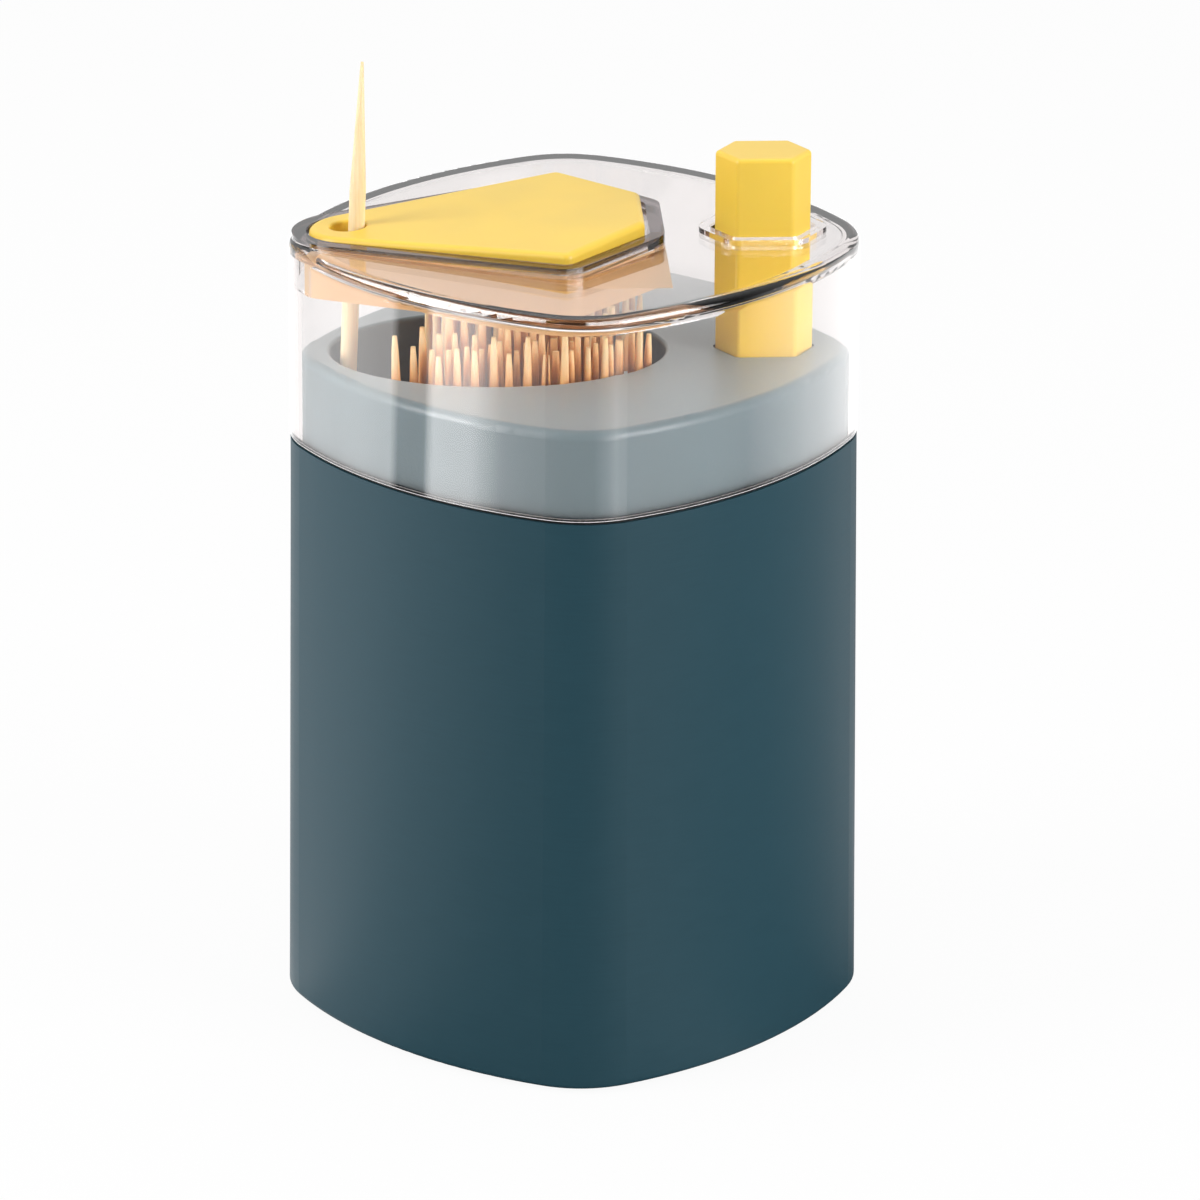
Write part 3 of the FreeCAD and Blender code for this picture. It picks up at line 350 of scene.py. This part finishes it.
def moulded_abs(name, colour, roughness, subsurface=0.0, hollow=0.0, sheen=0.0):
    """ABS from a fine-eroded mould: even colour, soft gloss and a faint orange-peel grain.

    Over a distance of hollow, deep hollows of the piece go dark, as little light reaches them.
    """
    material, tree = new_material(name)
    place = spaced(tree, PEEL)
    peel = add(tree, "ShaderNodeTexNoise", {"Vector": place, "Scale": 1.0, "Detail": 2.0})
    cloud = add(tree, "ShaderNodeTexNoise", {"Vector": place, "Scale": CLOUD_SHARE, "Detail": 2.0})
    tone = add(tree, "ShaderNodeValToRGB", {"Fac": cloud},
               stops=((0.35, scaled(colour, TONE_LOW)), (0.65, scaled(colour, TONE_HIGH))))
    if hollow:
        openness = add(tree, "ShaderNodeAmbientOcclusion", {"Distance": hollow},
                       {"samples": 8, "only_local": True})
        shade = add(tree, "ShaderNodeValToRGB", {"Fac": openness.outputs["AO"]}, stops=HOLLOW_SHADES)
        tone = add(tree, "ShaderNodeVectorMath", {0: tone, 1: shade}, {"operation": "MULTIPLY"})
        sheen = add(tree, "ShaderNodeMath", {0: shade, 1: sheen}, {"operation": "MULTIPLY"})
    gloss = add(tree, "ShaderNodeMapRange",
                {"Value": cloud, "To Min": roughness - 0.04, "To Max": roughness + 0.06})
    grain = add(tree, "ShaderNodeBump",
                {"Height": peel, "Strength": PEEL_STRENGTH, "Distance": PEEL_DEPTH})
    shader = add(tree, "ShaderNodeBsdfPrincipled", {
        "Base Color": tone, "Roughness": gloss, "Normal": grain, "IOR": 1.53, "Subsurface Weight": subsurface,
        "Subsurface Scale": PLASTIC_SCATTER, "Subsurface Radius": PLASTIC_SCATTER_SHARES,
        "Sheen Weight": sheen, "Sheen Roughness": 0.4})
    add(tree, "ShaderNodeOutputMaterial", {"Surface": shader})
    return material


def between(tree, source, low, high):
    """1 where the source lies between two lengths, and 0 elsewhere."""
    over = add(tree, "ShaderNodeMath", {0: source, 1: low}, {"operation": "GREATER_THAN"})
    under = add(tree, "ShaderNodeMath", {0: source, 1: high}, {"operation": "LESS_THAN"})
    return add(tree, "ShaderNodeMath", {0: over, 1: under}, {"operation": "MULTIPLY"})


def clear_styrene(colour, foot):
    """Polished clear styrene with a smoke tint: sharp reflections, painted shade that darkens the raised
    edge round the well, eroded front walls in the well that blur what is behind them and carry a tan
    of painted light from the yellow cover and the sticks, and a matt white foot."""
    material, tree = new_material("polished clear styrene, smoke tint")
    place = add(tree, "ShaderNodeTexCoord")
    along = add(tree, "ShaderNodeSeparateXYZ", {"Vector": place.outputs["Object"]})
    flow = add(tree, "ShaderNodeTexNoise",
               {"Vector": place.outputs["Object"], "Scale": 1 / WAVE_LENGTH, "Detail": 1.0})
    waves = add(tree, "ShaderNodeBump",
                {"Height": flow, "Strength": WAVE_STRENGTH, "Distance": WAVE_DEPTH})

    # Painted shade on the raised collar round the well: near its top the clear plastic is darkened
    rise = add(tree, "ShaderNodeMath",
               {0: along.outputs["X"], 1: -COLLAR_SLOPE_SHARE, 2: along.outputs["Z"]},
               {"operation": "MULTIPLY_ADD"})
    raised = add(tree, "ShaderNodeMapRange", {
        "Value": rise, "From Min": COLLAR_TOP - COLLAR_DARK_FROM, "From Max": COLLAR_TOP - COLLAR_DARK_FULL})
    before_end = add(tree, "ShaderNodeMath", {0: along.outputs["X"], 1: WELL_END},
                     {"operation": "LESS_THAN"})
    over_top = add(tree, "ShaderNodeMath", {0: along.outputs["Z"], 1: LID_TOP + COLLAR_MARGIN},
                   {"operation": "GREATER_THAN"})
    on_collar = add(tree, "ShaderNodeMath", {0: raised, 1: before_end}, {"operation": "MULTIPLY"})
    collar = add(tree, "ShaderNodeMath", {0: on_collar, 1: over_top}, {"operation": "MULTIPLY"})
    edge = add(tree, "ShaderNodeValToRGB", {"Fac": collar},
               stops=((0.0, (1.0, 1.0, 1.0)), (1.0, linear(COLLAR_PAINTED_SHADE))))

    half_width = add(tree, "ShaderNodeMath",
                     {0: along.outputs["X"], 1: WELL_SPREAD, 2: -WELL_APEX * WELL_SPREAD},
                     {"operation": "MULTIPLY_ADD"})
    aside = add(tree, "ShaderNodeMath", {0: along.outputs["Y"]}, {"operation": "ABSOLUTE"})
    inside = add(tree, "ShaderNodeMath", {0: aside, 1: half_width}, {"operation": "LESS_THAN"})
    lengthwise = between(tree, along.outputs["X"], WELL_NOSE, WELL_END)
    upright = between(tree, along.outputs["Z"], WELL_FOOT - WALL_MARGIN, LID_TOP - WALL_MARGIN)
    front = between(tree, along.outputs["Y"], -WELL_HALF, 0.0)
    in_front = add(tree, "ShaderNodeMath", {0: lengthwise, 1: front}, {"operation": "MULTIPLY"})
    in_plan = add(tree, "ShaderNodeMath", {0: in_front, 1: inside}, {"operation": "MULTIPLY"})
    well = add(tree, "ShaderNodeMath", {0: in_plan, 1: upright}, {"operation": "MULTIPLY"})
    rough = add(tree, "ShaderNodeMath", {0: well, 1: WELL_ROUGHNESS}, {"operation": "MULTIPLY"})
    # Painted light: the well's front walls are tinted tan for the glow of the yellow cover and the sticks
    painted_tan = add(tree, "ShaderNodeValToRGB", {"Fac": well},
                stops=((0.0, (1.0, 1.0, 1.0)), (1.0, linear(WELL_PAINTED_LIGHT_TINT))))

    tint = add(tree, "ShaderNodeVectorMath", {0: edge, 1: painted_tan}, {"operation": "MULTIPLY"})
    glass = add(tree, "ShaderNodeBsdfPrincipled", {
        "Base Color": tint, "Roughness": rough, "Normal": waves, "IOR": 1.57, "Transmission Weight": 1.0})
    clear = add(tree, "ShaderNodeBsdfTransparent", {"Color": (*SHADE_TINT, 1.0)})
    # Painted light: the scattered share is a tan diffuse that stands for the glow of the cover and the sticks
    frost = add(tree, "ShaderNodeBsdfDiffuse", {"Color": (*linear(FROST_PAINTED_LIGHT_COLOUR), 1.0)})
    frosted = add(tree, "ShaderNodeMath", {0: well, 1: FROST_SHARE}, {"operation": "MULTIPLY"})
    wall = add(tree, "ShaderNodeMixShader", {0: frosted, 1: glass, 2: frost})
    ray = add(tree, "ShaderNodeLightPath")
    body = add(tree, "ShaderNodeMixShader", {0: ray.outputs["Is Shadow Ray"], 1: wall, 2: clear})
    matt = add(tree, "ShaderNodeBsdfDiffuse", {"Color": (*MATT_WHITE, 1.0)})
    at_foot = add(tree, "ShaderNodeMath", {0: along.outputs["Z"], 1: foot + FOOT_MARGIN},
                  {"operation": "LESS_THAN"})
    shader = add(tree, "ShaderNodeMixShader", {0: at_foot, 1: body, 2: matt})
    smoke = add(tree, "ShaderNodeVolumeAbsorption", {"Color": (*colour, 1.0), "Density": SMOKE_DENSITY})
    add(tree, "ShaderNodeOutputMaterial", {"Surface": shader, "Volume": smoke})
    return material


def raw_bamboo(colour, grain, crowd=0.0):
    """Turned raw bamboo: pale, dry, with fine fibres along the stick.

    Over a distance of crowd, sticks in a bundle go warm brown, as the light between them has
    passed through their neighbours.
    """
    material, tree = new_material("raw turned bamboo" + (", bundled" if crowd else ""))
    fibre = add(tree, "ShaderNodeTexNoise",
                {"Vector": spaced(tree, grain, FIBRE_STRETCH * grain), "Scale": 1.0, "Detail": 3.0,
                 "Roughness": 0.6})
    low = [channel * share for channel, share in zip(colour, FIBRE_LOW_SHARES)]
    tone = add(tree, "ShaderNodeValToRGB", {"Fac": fibre}, stops=((0.25, low), (0.62, colour)))
    if crowd:
        openness = add(tree, "ShaderNodeAmbientOcclusion", {"Distance": crowd}, {"samples": 8})
        shade = add(tree, "ShaderNodeValToRGB", {"Fac": openness.outputs["AO"]}, stops=CROWD_SHADES)
        tone = add(tree, "ShaderNodeVectorMath", {0: tone, 1: shade}, {"operation": "MULTIPLY"})
    ridges = add(tree, "ShaderNodeBump",
                 {"Height": fibre, "Strength": FIBRE_STRENGTH, "Distance": FIBRE_DEPTH})
    shader = add(tree, "ShaderNodeBsdfPrincipled", {
        "Base Color": tone, "Normal": ridges, "Roughness": 0.55, "IOR": 1.46, "Subsurface Weight": 0.25,
        "Subsurface Scale": BAMBOO_SCATTER, "Subsurface Radius": BAMBOO_SCATTER_SHARES})
    add(tree, "ShaderNodeOutputMaterial", {"Surface": shader})
    return material


def moulded_rubber():
    """Black moulded elastomer: matte, slightly dusty."""
    material, tree = new_material("moulded elastomer, black")
    dust = add(tree, "ShaderNodeTexNoise", {"Vector": spaced(tree, DUST), "Scale": 1.0, "Detail": 3.0})
    tone = add(tree, "ShaderNodeValToRGB", {"Fac": dust},
               stops=((0.35, linear("#0B0B0C")), (0.7, linear("#1B1B1D"))))
    shader = add(tree, "ShaderNodeBsdfPrincipled", {"Base Color": tone, "Roughness": 0.75, "IOR": 1.5})
    add(tree, "ShaderNodeOutputMaterial", {"Surface": shader})
    return material


def turned_metal(name, code, roughness):
    """Turned or drawn metal: lathe lines show as fine changes of gloss."""
    material, tree = new_material(name)
    lines = add(tree, "ShaderNodeTexNoise", {"Vector": spaced(tree, LATHE_LINE), "Scale": 1.0, "Detail": 3.0})
    gloss = add(tree, "ShaderNodeMapRange",
                {"Value": lines, "To Min": roughness - 0.08, "To Max": roughness + 0.12})
    tone = add(tree, "ShaderNodeValToRGB", {"Fac": lines},
               stops=((0.3, scaled(linear(code), 0.85)), (0.7, linear(code))))
    shader = add(tree, "ShaderNodeBsdfPrincipled", {"Base Color": tone, "Roughness": gloss, "Metallic": 1.0})
    add(tree, "ShaderNodeOutputMaterial", {"Surface": shader})
    return material


def coat(piece, material):
    """Gives a piece one finish all over."""
    piece.data.materials.clear()
    piece.data.materials.append(material)


def dress(node, material):
    """Gives a carried-over node its finish."""
    coat(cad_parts[node], material)


def floor_height(x, y):
    """Height of the bin's floor: a ridge that falls towards the button, in a level trough."""
    ridge = BIN_FLOOR_TOP - FLOOR_FALL_SHARE * (x - BIN_TIP)
    ridge -= FLOOR_SIDE_SHARE * max(0.0, abs(y) - FLOOR_RIDGE_HALF)
    return max(ridge, BIN_FLOOR_TOP - TROUGH_DEPTH)


def has_room(x, y, room):
    """True where a toothpick stands clear of the bin's wall, the lifter and the free pocket."""
    along = (x - BIN_MIDDLE) / (BIN_HALF_LENGTH - room)
    across = y / (BIN_HALF_WIDTH - room)
    if math.hypot(along, across) > 1 or math.dist((x, y), (LIFTER_AT, 0.0)) < LIFTER_ROOM:
        return False
    return max(abs(x - POCKET_AT), abs(y)) > POCKET_HALF + PICK_ROOM


def add_toothpick(shape, foot, tip, turn):
    """Adds a pointed round stick with blunt ends between two points."""
    axis = (tip - foot).normalized()
    side = axis.orthogonal().normalized()
    other = axis.cross(side)
    rings = []
    for height, radius in PICK_PROFILE:
        ring = []
        for step in range(PICK_SIDES):
            angle = turn + 2 * math.pi * step / PICK_SIDES
            spoke = side * math.cos(angle) + other * math.sin(angle)
            ring.append(shape.verts.new((foot + axis * height + spoke * radius) * MM))
        rings.append(ring)
    for low, high in zip(rings, rings[1:]):
        for step in range(PICK_SIDES):
            after = (step + 1) % PICK_SIDES
            face = shape.faces.new((low[step], low[after], high[after], high[step]))
            face.smooth = True
    shape.faces.new(rings[0][::-1])
    shape.faces.new(rings[-1])


def stock_of_toothpicks():
    """Toothpicks that stand packed in the bin, their tips at uneven heights."""
    chance = random.Random(STOCK_SEED)
    shape = bmesh.new()
    row_step = STOCK_PITCH * math.sqrt(3) / 2
    for row in STOCK_ROWS:
        for column in STOCK_COLUMNS:
            x = BIN_MIDDLE + (column + row % 2 / 2) * STOCK_PITCH + chance.uniform(-1, 1) * STOCK_WANDER
            y = row * row_step + chance.uniform(-1, 1) * STOCK_WANDER
            lift = STOCK_UNEVEN * chance.random() ** 2
            turn = chance.uniform(0, math.pi)
            foot_x = BIN_MIDDLE + (x - BIN_MIDDLE) * STOCK_FEET_SHARE
            foot_y = y * STOCK_FEET_SHARE
            if not (has_room(x, y, TIP_ROOM) and has_room(foot_x, foot_y, PICK_ROOM + WALL_ROOM)):
                continue
            floor = floor_height(foot_x, foot_y)
            if floor > BIN_FLOOR_TOP - EMPTIED_DEPTH:
                continue
            if x < SPARSE_END:
                lift /= SPARSE_EVENNESS
                if y > 0 or floor > BIN_FLOOR_TOP - SPARSE_DEPTH:
                    continue
            foot = Vector((foot_x, foot_y, floor + FLOOR_ROOM + lift))
            tip = Vector((x, y, foot.z + PICK_LENGTH))
            add_toothpick(shape, foot, foot + (tip - foot).normalized() * PICK_LENGTH, turn)
    mesh = bpy.data.meshes.new("stock_of_toothpicks")
    shape.to_mesh(mesh)
    shape.free()
    stock = bpy.data.objects.new("stock_of_toothpicks", mesh)
    bpy.context.scene.collection.objects.link(stock)
    return stock


def working_spring(material):
    """Adds the return spring as a copy with its own mesh, carried by the casing, in place of the carried-over
    one.
    """
    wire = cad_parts["return_spring"].data.copy()
    spring = bpy.data.objects.new("working_spring", wire)
    bpy.context.scene.collection.objects.link(spring)
    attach(spring, "casing")
    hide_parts("return_spring")
    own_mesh(spring)
    coat(spring, material)


# Operators, one for each piece or group of like pieces

class DISPENSER_OT_casing(bpy.types.Operator):
    """Finish the shell, the inner tub, the seat ring, the base and its feet"""

    bl_idname = "dispenser.casing"
    bl_label = "Casing"

    def execute(self, context):
        colours = context.scene.dispenser_finish
        dress("outer_shell", lacquered_steel(colours.shell, context.scene.dispenser_sizes.streak))
        dress("inner_tub", moulded_abs("moulded ABS, teal", colours.tub, roughness=0.34,
                                       hollow=BIN_SHADE_REACH, sheen=0.42))
        rubber = moulded_rubber()
        for node in ("seat_ring", "foot_front", "foot_back", "foot_left", "foot_right"):
            dress(node, rubber)
        dark = moulded_abs("moulded ABS, dark grey", linear("#2B2F31"), roughness=0.5)
        dress("base_plate", dark)
        dress("fulcrum_bracket", dark)
        return {"FINISHED"}


class DISPENSER_OT_lid(bpy.types.Operator):
    """Finish the clear lid"""

    bl_idname = "dispenser.lid"
    bl_label = "Lid"

    def execute(self, context):
        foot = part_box("clear_lid")[0][2]
        dress("clear_lid", clear_styrene(context.scene.dispenser_finish.smoke, foot))
        return {"FINISHED"}


class DISPENSER_OT_yellow(bpy.types.Operator):
    """Finish the kite-shaped cover and the push button"""

    bl_idname = "dispenser.yellow"
    bl_label = "Cover and button"

    def execute(self, context):
        colour = context.scene.dispenser_finish.yellow
        yellow = moulded_abs("moulded ABS, yellow", colour, roughness=0.36, subsurface=0.15)
        dress("kite_cover", yellow)
        dress("hex_button", yellow)
        return {"FINISHED"}


class DISPENSER_OT_toothpicks(bpy.types.Operator):
    """Finish the dispensed toothpick and the stock in the bin"""

    bl_idname = "dispenser.toothpicks"
    bl_label = "Toothpicks"

    def execute(self, context):
        colour = context.scene.dispenser_finish.bamboo
        grain = context.scene.dispenser_sizes.grain
        dress("dispensed_toothpick", raw_bamboo(colour, grain))
        stock = stock_of_toothpicks()
        coat(stock, raw_bamboo(colour, grain, CROWD_REACH))
        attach(stock, "casing")
        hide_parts("toothpicks_in_bin")
        return {"FINISHED"}


class DISPENSER_OT_mechanism(bpy.types.Operator):
    """Finish the lever, the lifter, the push rod, the spring and the fasteners"""

    bl_idname = "dispenser.mechanism"
    bl_label = "Mechanism"

    def execute(self, context):
        acetal = moulded_abs("moulded acetal, natural white", linear("#E9E8E2"), roughness=0.38,
                             subsurface=0.1)
        for node in ("rocker_lever", "lifter_pad", "lifter_tip", "rod_bush"):
            dress(node, acetal)
        steel = turned_metal("turned steel", "#B9BBBD", roughness=0.3)
        for node in ("push_rod", "rod_clip", "lifter_rod", "pivot_pin", "pin_clips", "base_screws",
                     "bracket_screws"):
            dress(node, steel)
        working_spring(steel)
        dress("lever_bush", turned_metal("turned brass", "#C9A55C", roughness=0.28))
        return {"FINISHED"}


class DISPENSER_OT_stage(bpy.types.Operator):
    """Set the floor, the soft lights and the camera"""

    bl_idname = "dispenser.stage"
    bl_label = "Stage"

    def execute(self, context):
        make_floor()
        make_world(context.scene)
        for lamp in LAMPS:
            softbox(*lamp)
        make_camera(context.scene)
        context.scene.view_settings.view_transform = "Standard"
        return {"FINISHED"}


def make_floor():
    """White paper; what mirrors show of it is painted reflections, bright boards at the left and a dim front,
    which light nothing.
    """
    mesh = bpy.data.meshes.new("floor")
    shape = bmesh.new()
    corners = [(x * FLOOR_HALF, y * FLOOR_HALF, 0.0) for x, y in ((-1, -1), (1, -1), (1, 1), (-1, 1))]
    shape.faces.new([shape.verts.new(corner) for corner in corners])
    shape.to_mesh(mesh)
    shape.free()
    floor = bpy.data.objects.new("floor", mesh)
    bpy.context.scene.collection.objects.link(floor)
    material, tree = new_material("matte white paper floor")
    paper = add(tree, "ShaderNodeBsdfDiffuse", {"Color": (0.8, 0.8, 0.8, 1.0)})
    place = add(tree, "ShaderNodeTexCoord")
    around = add(tree, "ShaderNodeTexGradient", {"Vector": place.outputs["Object"]},
                 {"gradient_type": "RADIAL"})
    # Painted reflections: bright boards that only reflected rays see on the floor; they light nothing
    polished = add(tree, "ShaderNodeValToRGB", {"Fac": around.outputs["Fac"]},
                   stops=grey_angles(POLISHED_PAINTED_BOARDS, PAINTED_BOARD_PEAK))
    satin = add(tree, "ShaderNodeValToRGB", {"Fac": around.outputs["Fac"]},
                stops=grey_angles(SATIN_PAINTED_BOARDS, PAINTED_BOARD_PEAK))
    ray = add(tree, "ShaderNodeLightPath")
    through = ray.outputs["Is Transmission Ray"]
    mirror = add(tree, "ShaderNodeMath", {0: ray.outputs["Is Glossy Ray"], 1: through},
                 {"operation": "SUBTRACT", "use_clamp": True})
    boards = add(tree, "ShaderNodeMapRange",
                 {"Value": ray.outputs["Is Singular Ray"], "To Min": satin, "To Max": polished})
    bright = add(tree, "ShaderNodeMath", {0: boards, 1: PAINTED_BOARD_PEAK}, {"operation": "MULTIPLY"})
    strength = add(tree, "ShaderNodeMapRange", {"Value": mirror, "To Min": 1.0, "To Max": bright})
    white = add(tree, "ShaderNodeEmission", {"Strength": strength})
    seen = add(tree, "ShaderNodeMath", {0: ray.outputs["Is Camera Ray"], 1: through},
               {"operation": "MAXIMUM"})
    glow = add(tree, "ShaderNodeMath", {0: seen, 1: FLOOR_GLOW_SHARE}, {"operation": "MULTIPLY"})
    share = add(tree, "ShaderNodeMath", {0: glow, 1: mirror}, {"operation": "MAXIMUM"})
    shader = add(tree, "ShaderNodeMixShader", {0: share, 1: paper, 2: white})
    add(tree, "ShaderNodeOutputMaterial", {"Surface": shader})
    mesh.materials.append(material)


def make_world(scene):
    """White all round for the camera, dim above and in front for mirrors and for rays bent by the
    lid, with painted highlights for polished edges: window panels in front that only sharp reflections see."""
    world = bpy.data.worlds.new("studio")
    world.use_nodes = True
    tree = world.node_tree
    tree.nodes.clear()
    ray = add(tree, "ShaderNodeLightPath")
    place = add(tree, "ShaderNodeTexCoord")
    along = add(tree, "ShaderNodeSeparateXYZ", {"Vector": place.outputs["Generated"]})
    plain = add(tree, "ShaderNodeMapRange", {"Value": along.outputs["Y"], **MIRROR_SKY},
                {"interpolation_type": "SMOOTHSTEP"})
    around = add(tree, "ShaderNodeTexGradient", {"Vector": place.outputs["Generated"]},
                 {"gradient_type": "RADIAL"})
    # Painted highlights: window panels that only sharp reflections see; they light nothing
    by_angle = add(tree, "ShaderNodeValToRGB", {"Fac": around.outputs["Fac"]}, stops=grey_angles(HIGHLIGHT_PANELS))
    by_height = add(tree, "ShaderNodeValToRGB", {"Fac": along.outputs["Z"]}, stops=greys(HIGHLIGHT_PANEL_HEIGHTS))
    panels = add(tree, "ShaderNodeMath", {0: by_angle, 1: by_height}, {"operation": "MULTIPLY"})
    sharp = add(tree, "ShaderNodeMath", {0: ray.outputs["Is Singular Ray"], 1: HIGHLIGHT_PANEL_PEAK},
                {"operation": "MULTIPLY"})
    mirrored = add(tree, "ShaderNodeMath", {0: panels, 1: sharp, 2: plain}, {"operation": "MULTIPLY_ADD"})
    bent = add(tree, "ShaderNodeMapRange", {"Value": along.outputs["Z"], **BENT_SKY},
               {"interpolation_type": "SMOOTHSTEP"})
    direct = add(tree, "ShaderNodeMapRange",
                 {"Value": ray.outputs["Is Camera Ray"], "To Min": DIFFUSE_SKY, "To Max": 1.0})
    glossy = add(tree, "ShaderNodeMapRange",
                 {"Value": ray.outputs["Is Glossy Ray"], "To Min": direct, "To Max": mirrored})
    level = add(tree, "ShaderNodeMapRange",
                {"Value": ray.outputs["Is Transmission Ray"], "To Min": glossy, "To Max": bent})
    light = add(tree, "ShaderNodeBackground", {"Color": (1.0, 1.0, 1.0, 1.0), "Strength": level})
    add(tree, "ShaderNodeOutputWorld", {"Surface": light})
    scene.world = world


def softbox(name, place, size, power):
    """Adds a rectangular lamp that faces the body."""
    lamp = bpy.data.lights.new(name, "AREA")
    lamp.shape = "RECTANGLE"
    lamp.size, lamp.size_y = size
    lamp.energy = power
    box = bpy.data.objects.new(name, lamp)
    bpy.context.scene.collection.objects.link(box)
    box.location = place
    box.rotation_mode = "QUATERNION"
    box.rotation_quaternion = (Vector(LAMP_TARGET) - Vector(place)).to_track_quat("-Z", "Y")


def make_camera(scene):
    """Sets the camera; the aim is moved aside so that the body's axis falls on its pixel."""
    data = bpy.data.cameras.new("studio camera")
    data.sensor_width = SENSOR_WIDTH
    data.lens = FOCAL_PIXELS / FRAME_PIXELS * SENSOR_WIDTH
    data.clip_start, data.clip_end = CAMERA_CLIP
    camera = bpy.data.objects.new("studio camera", data)
    scene.collection.objects.link(camera)
    turn = Matrix.Rotation(CAMERA_AZIMUTH, 3, "Z")
    level, rise = math.cos(CAMERA_ELEVATION), math.sin(CAMERA_ELEVATION)
    right = turn @ Vector((1, 0, 0))
    up = turn @ Vector((0, rise, level))
    back = turn @ Vector((0, -level, rise))
    aim = Vector((0, 0, CAMERA_AIM))
    eye = aim + back * CAMERA_DISTANCE
    scale = CAMERA_DISTANCE / FOCAL_PIXELS
    aim += right * (FRAME_PIXELS / 2 - AIM_PIXEL[0]) * scale
    aim += up * (AIM_PIXEL[1] - FRAME_PIXELS / 2) * scale
    camera.location = eye
    camera.rotation_mode = "QUATERNION"
    look = (aim - eye).to_track_quat("-Z", "Y")
    camera.rotation_quaternion = look @ Matrix.Rotation(CAMERA_ROLL, 3, "Z").to_quaternion()
    scene.camera = camera


class DISPENSER_PT_panel(bpy.types.Panel):
    """Pieces of the dispenser, each with its own button"""

    bl_label = "Toothpick Dispenser"
    bl_idname = "DISPENSER_PT_panel"
    bl_space_type = "VIEW_3D"
    bl_region_type = "UI"
    bl_category = "Dispenser"

    def draw(self, context):
        for step in STEPS:
            self.layout.operator(step.bl_idname)
        for group in (context.scene.dispenser_finish, context.scene.dispenser_sizes):
            for name in group.__annotations__:
                self.layout.prop(group, name)


STEPS = (
    DISPENSER_OT_casing,
    DISPENSER_OT_lid,
    DISPENSER_OT_yellow,
    DISPENSER_OT_toothpicks,
    DISPENSER_OT_mechanism,
    DISPENSER_OT_stage,
)
CLASSES = (DispenserFinish, DispenserSizes, *STEPS, DISPENSER_PT_panel)


def register():
    for cls in CLASSES:
        bpy.utils.register_class(cls)
    bpy.types.Scene.dispenser_finish = PointerProperty(type=DispenserFinish)
    bpy.types.Scene.dispenser_sizes = PointerProperty(type=DispenserSizes)


def unregister():
    del bpy.types.Scene.dispenser_sizes
    del bpy.types.Scene.dispenser_finish
    for cls in reversed(CLASSES):
        bpy.utils.unregister_class(cls)


def main():
    register()
    for step in STEPS:
        group, name = step.bl_idname.split(".")
        getattr(getattr(bpy.ops, group), name)()


if __name__ == "__main__":
    main()
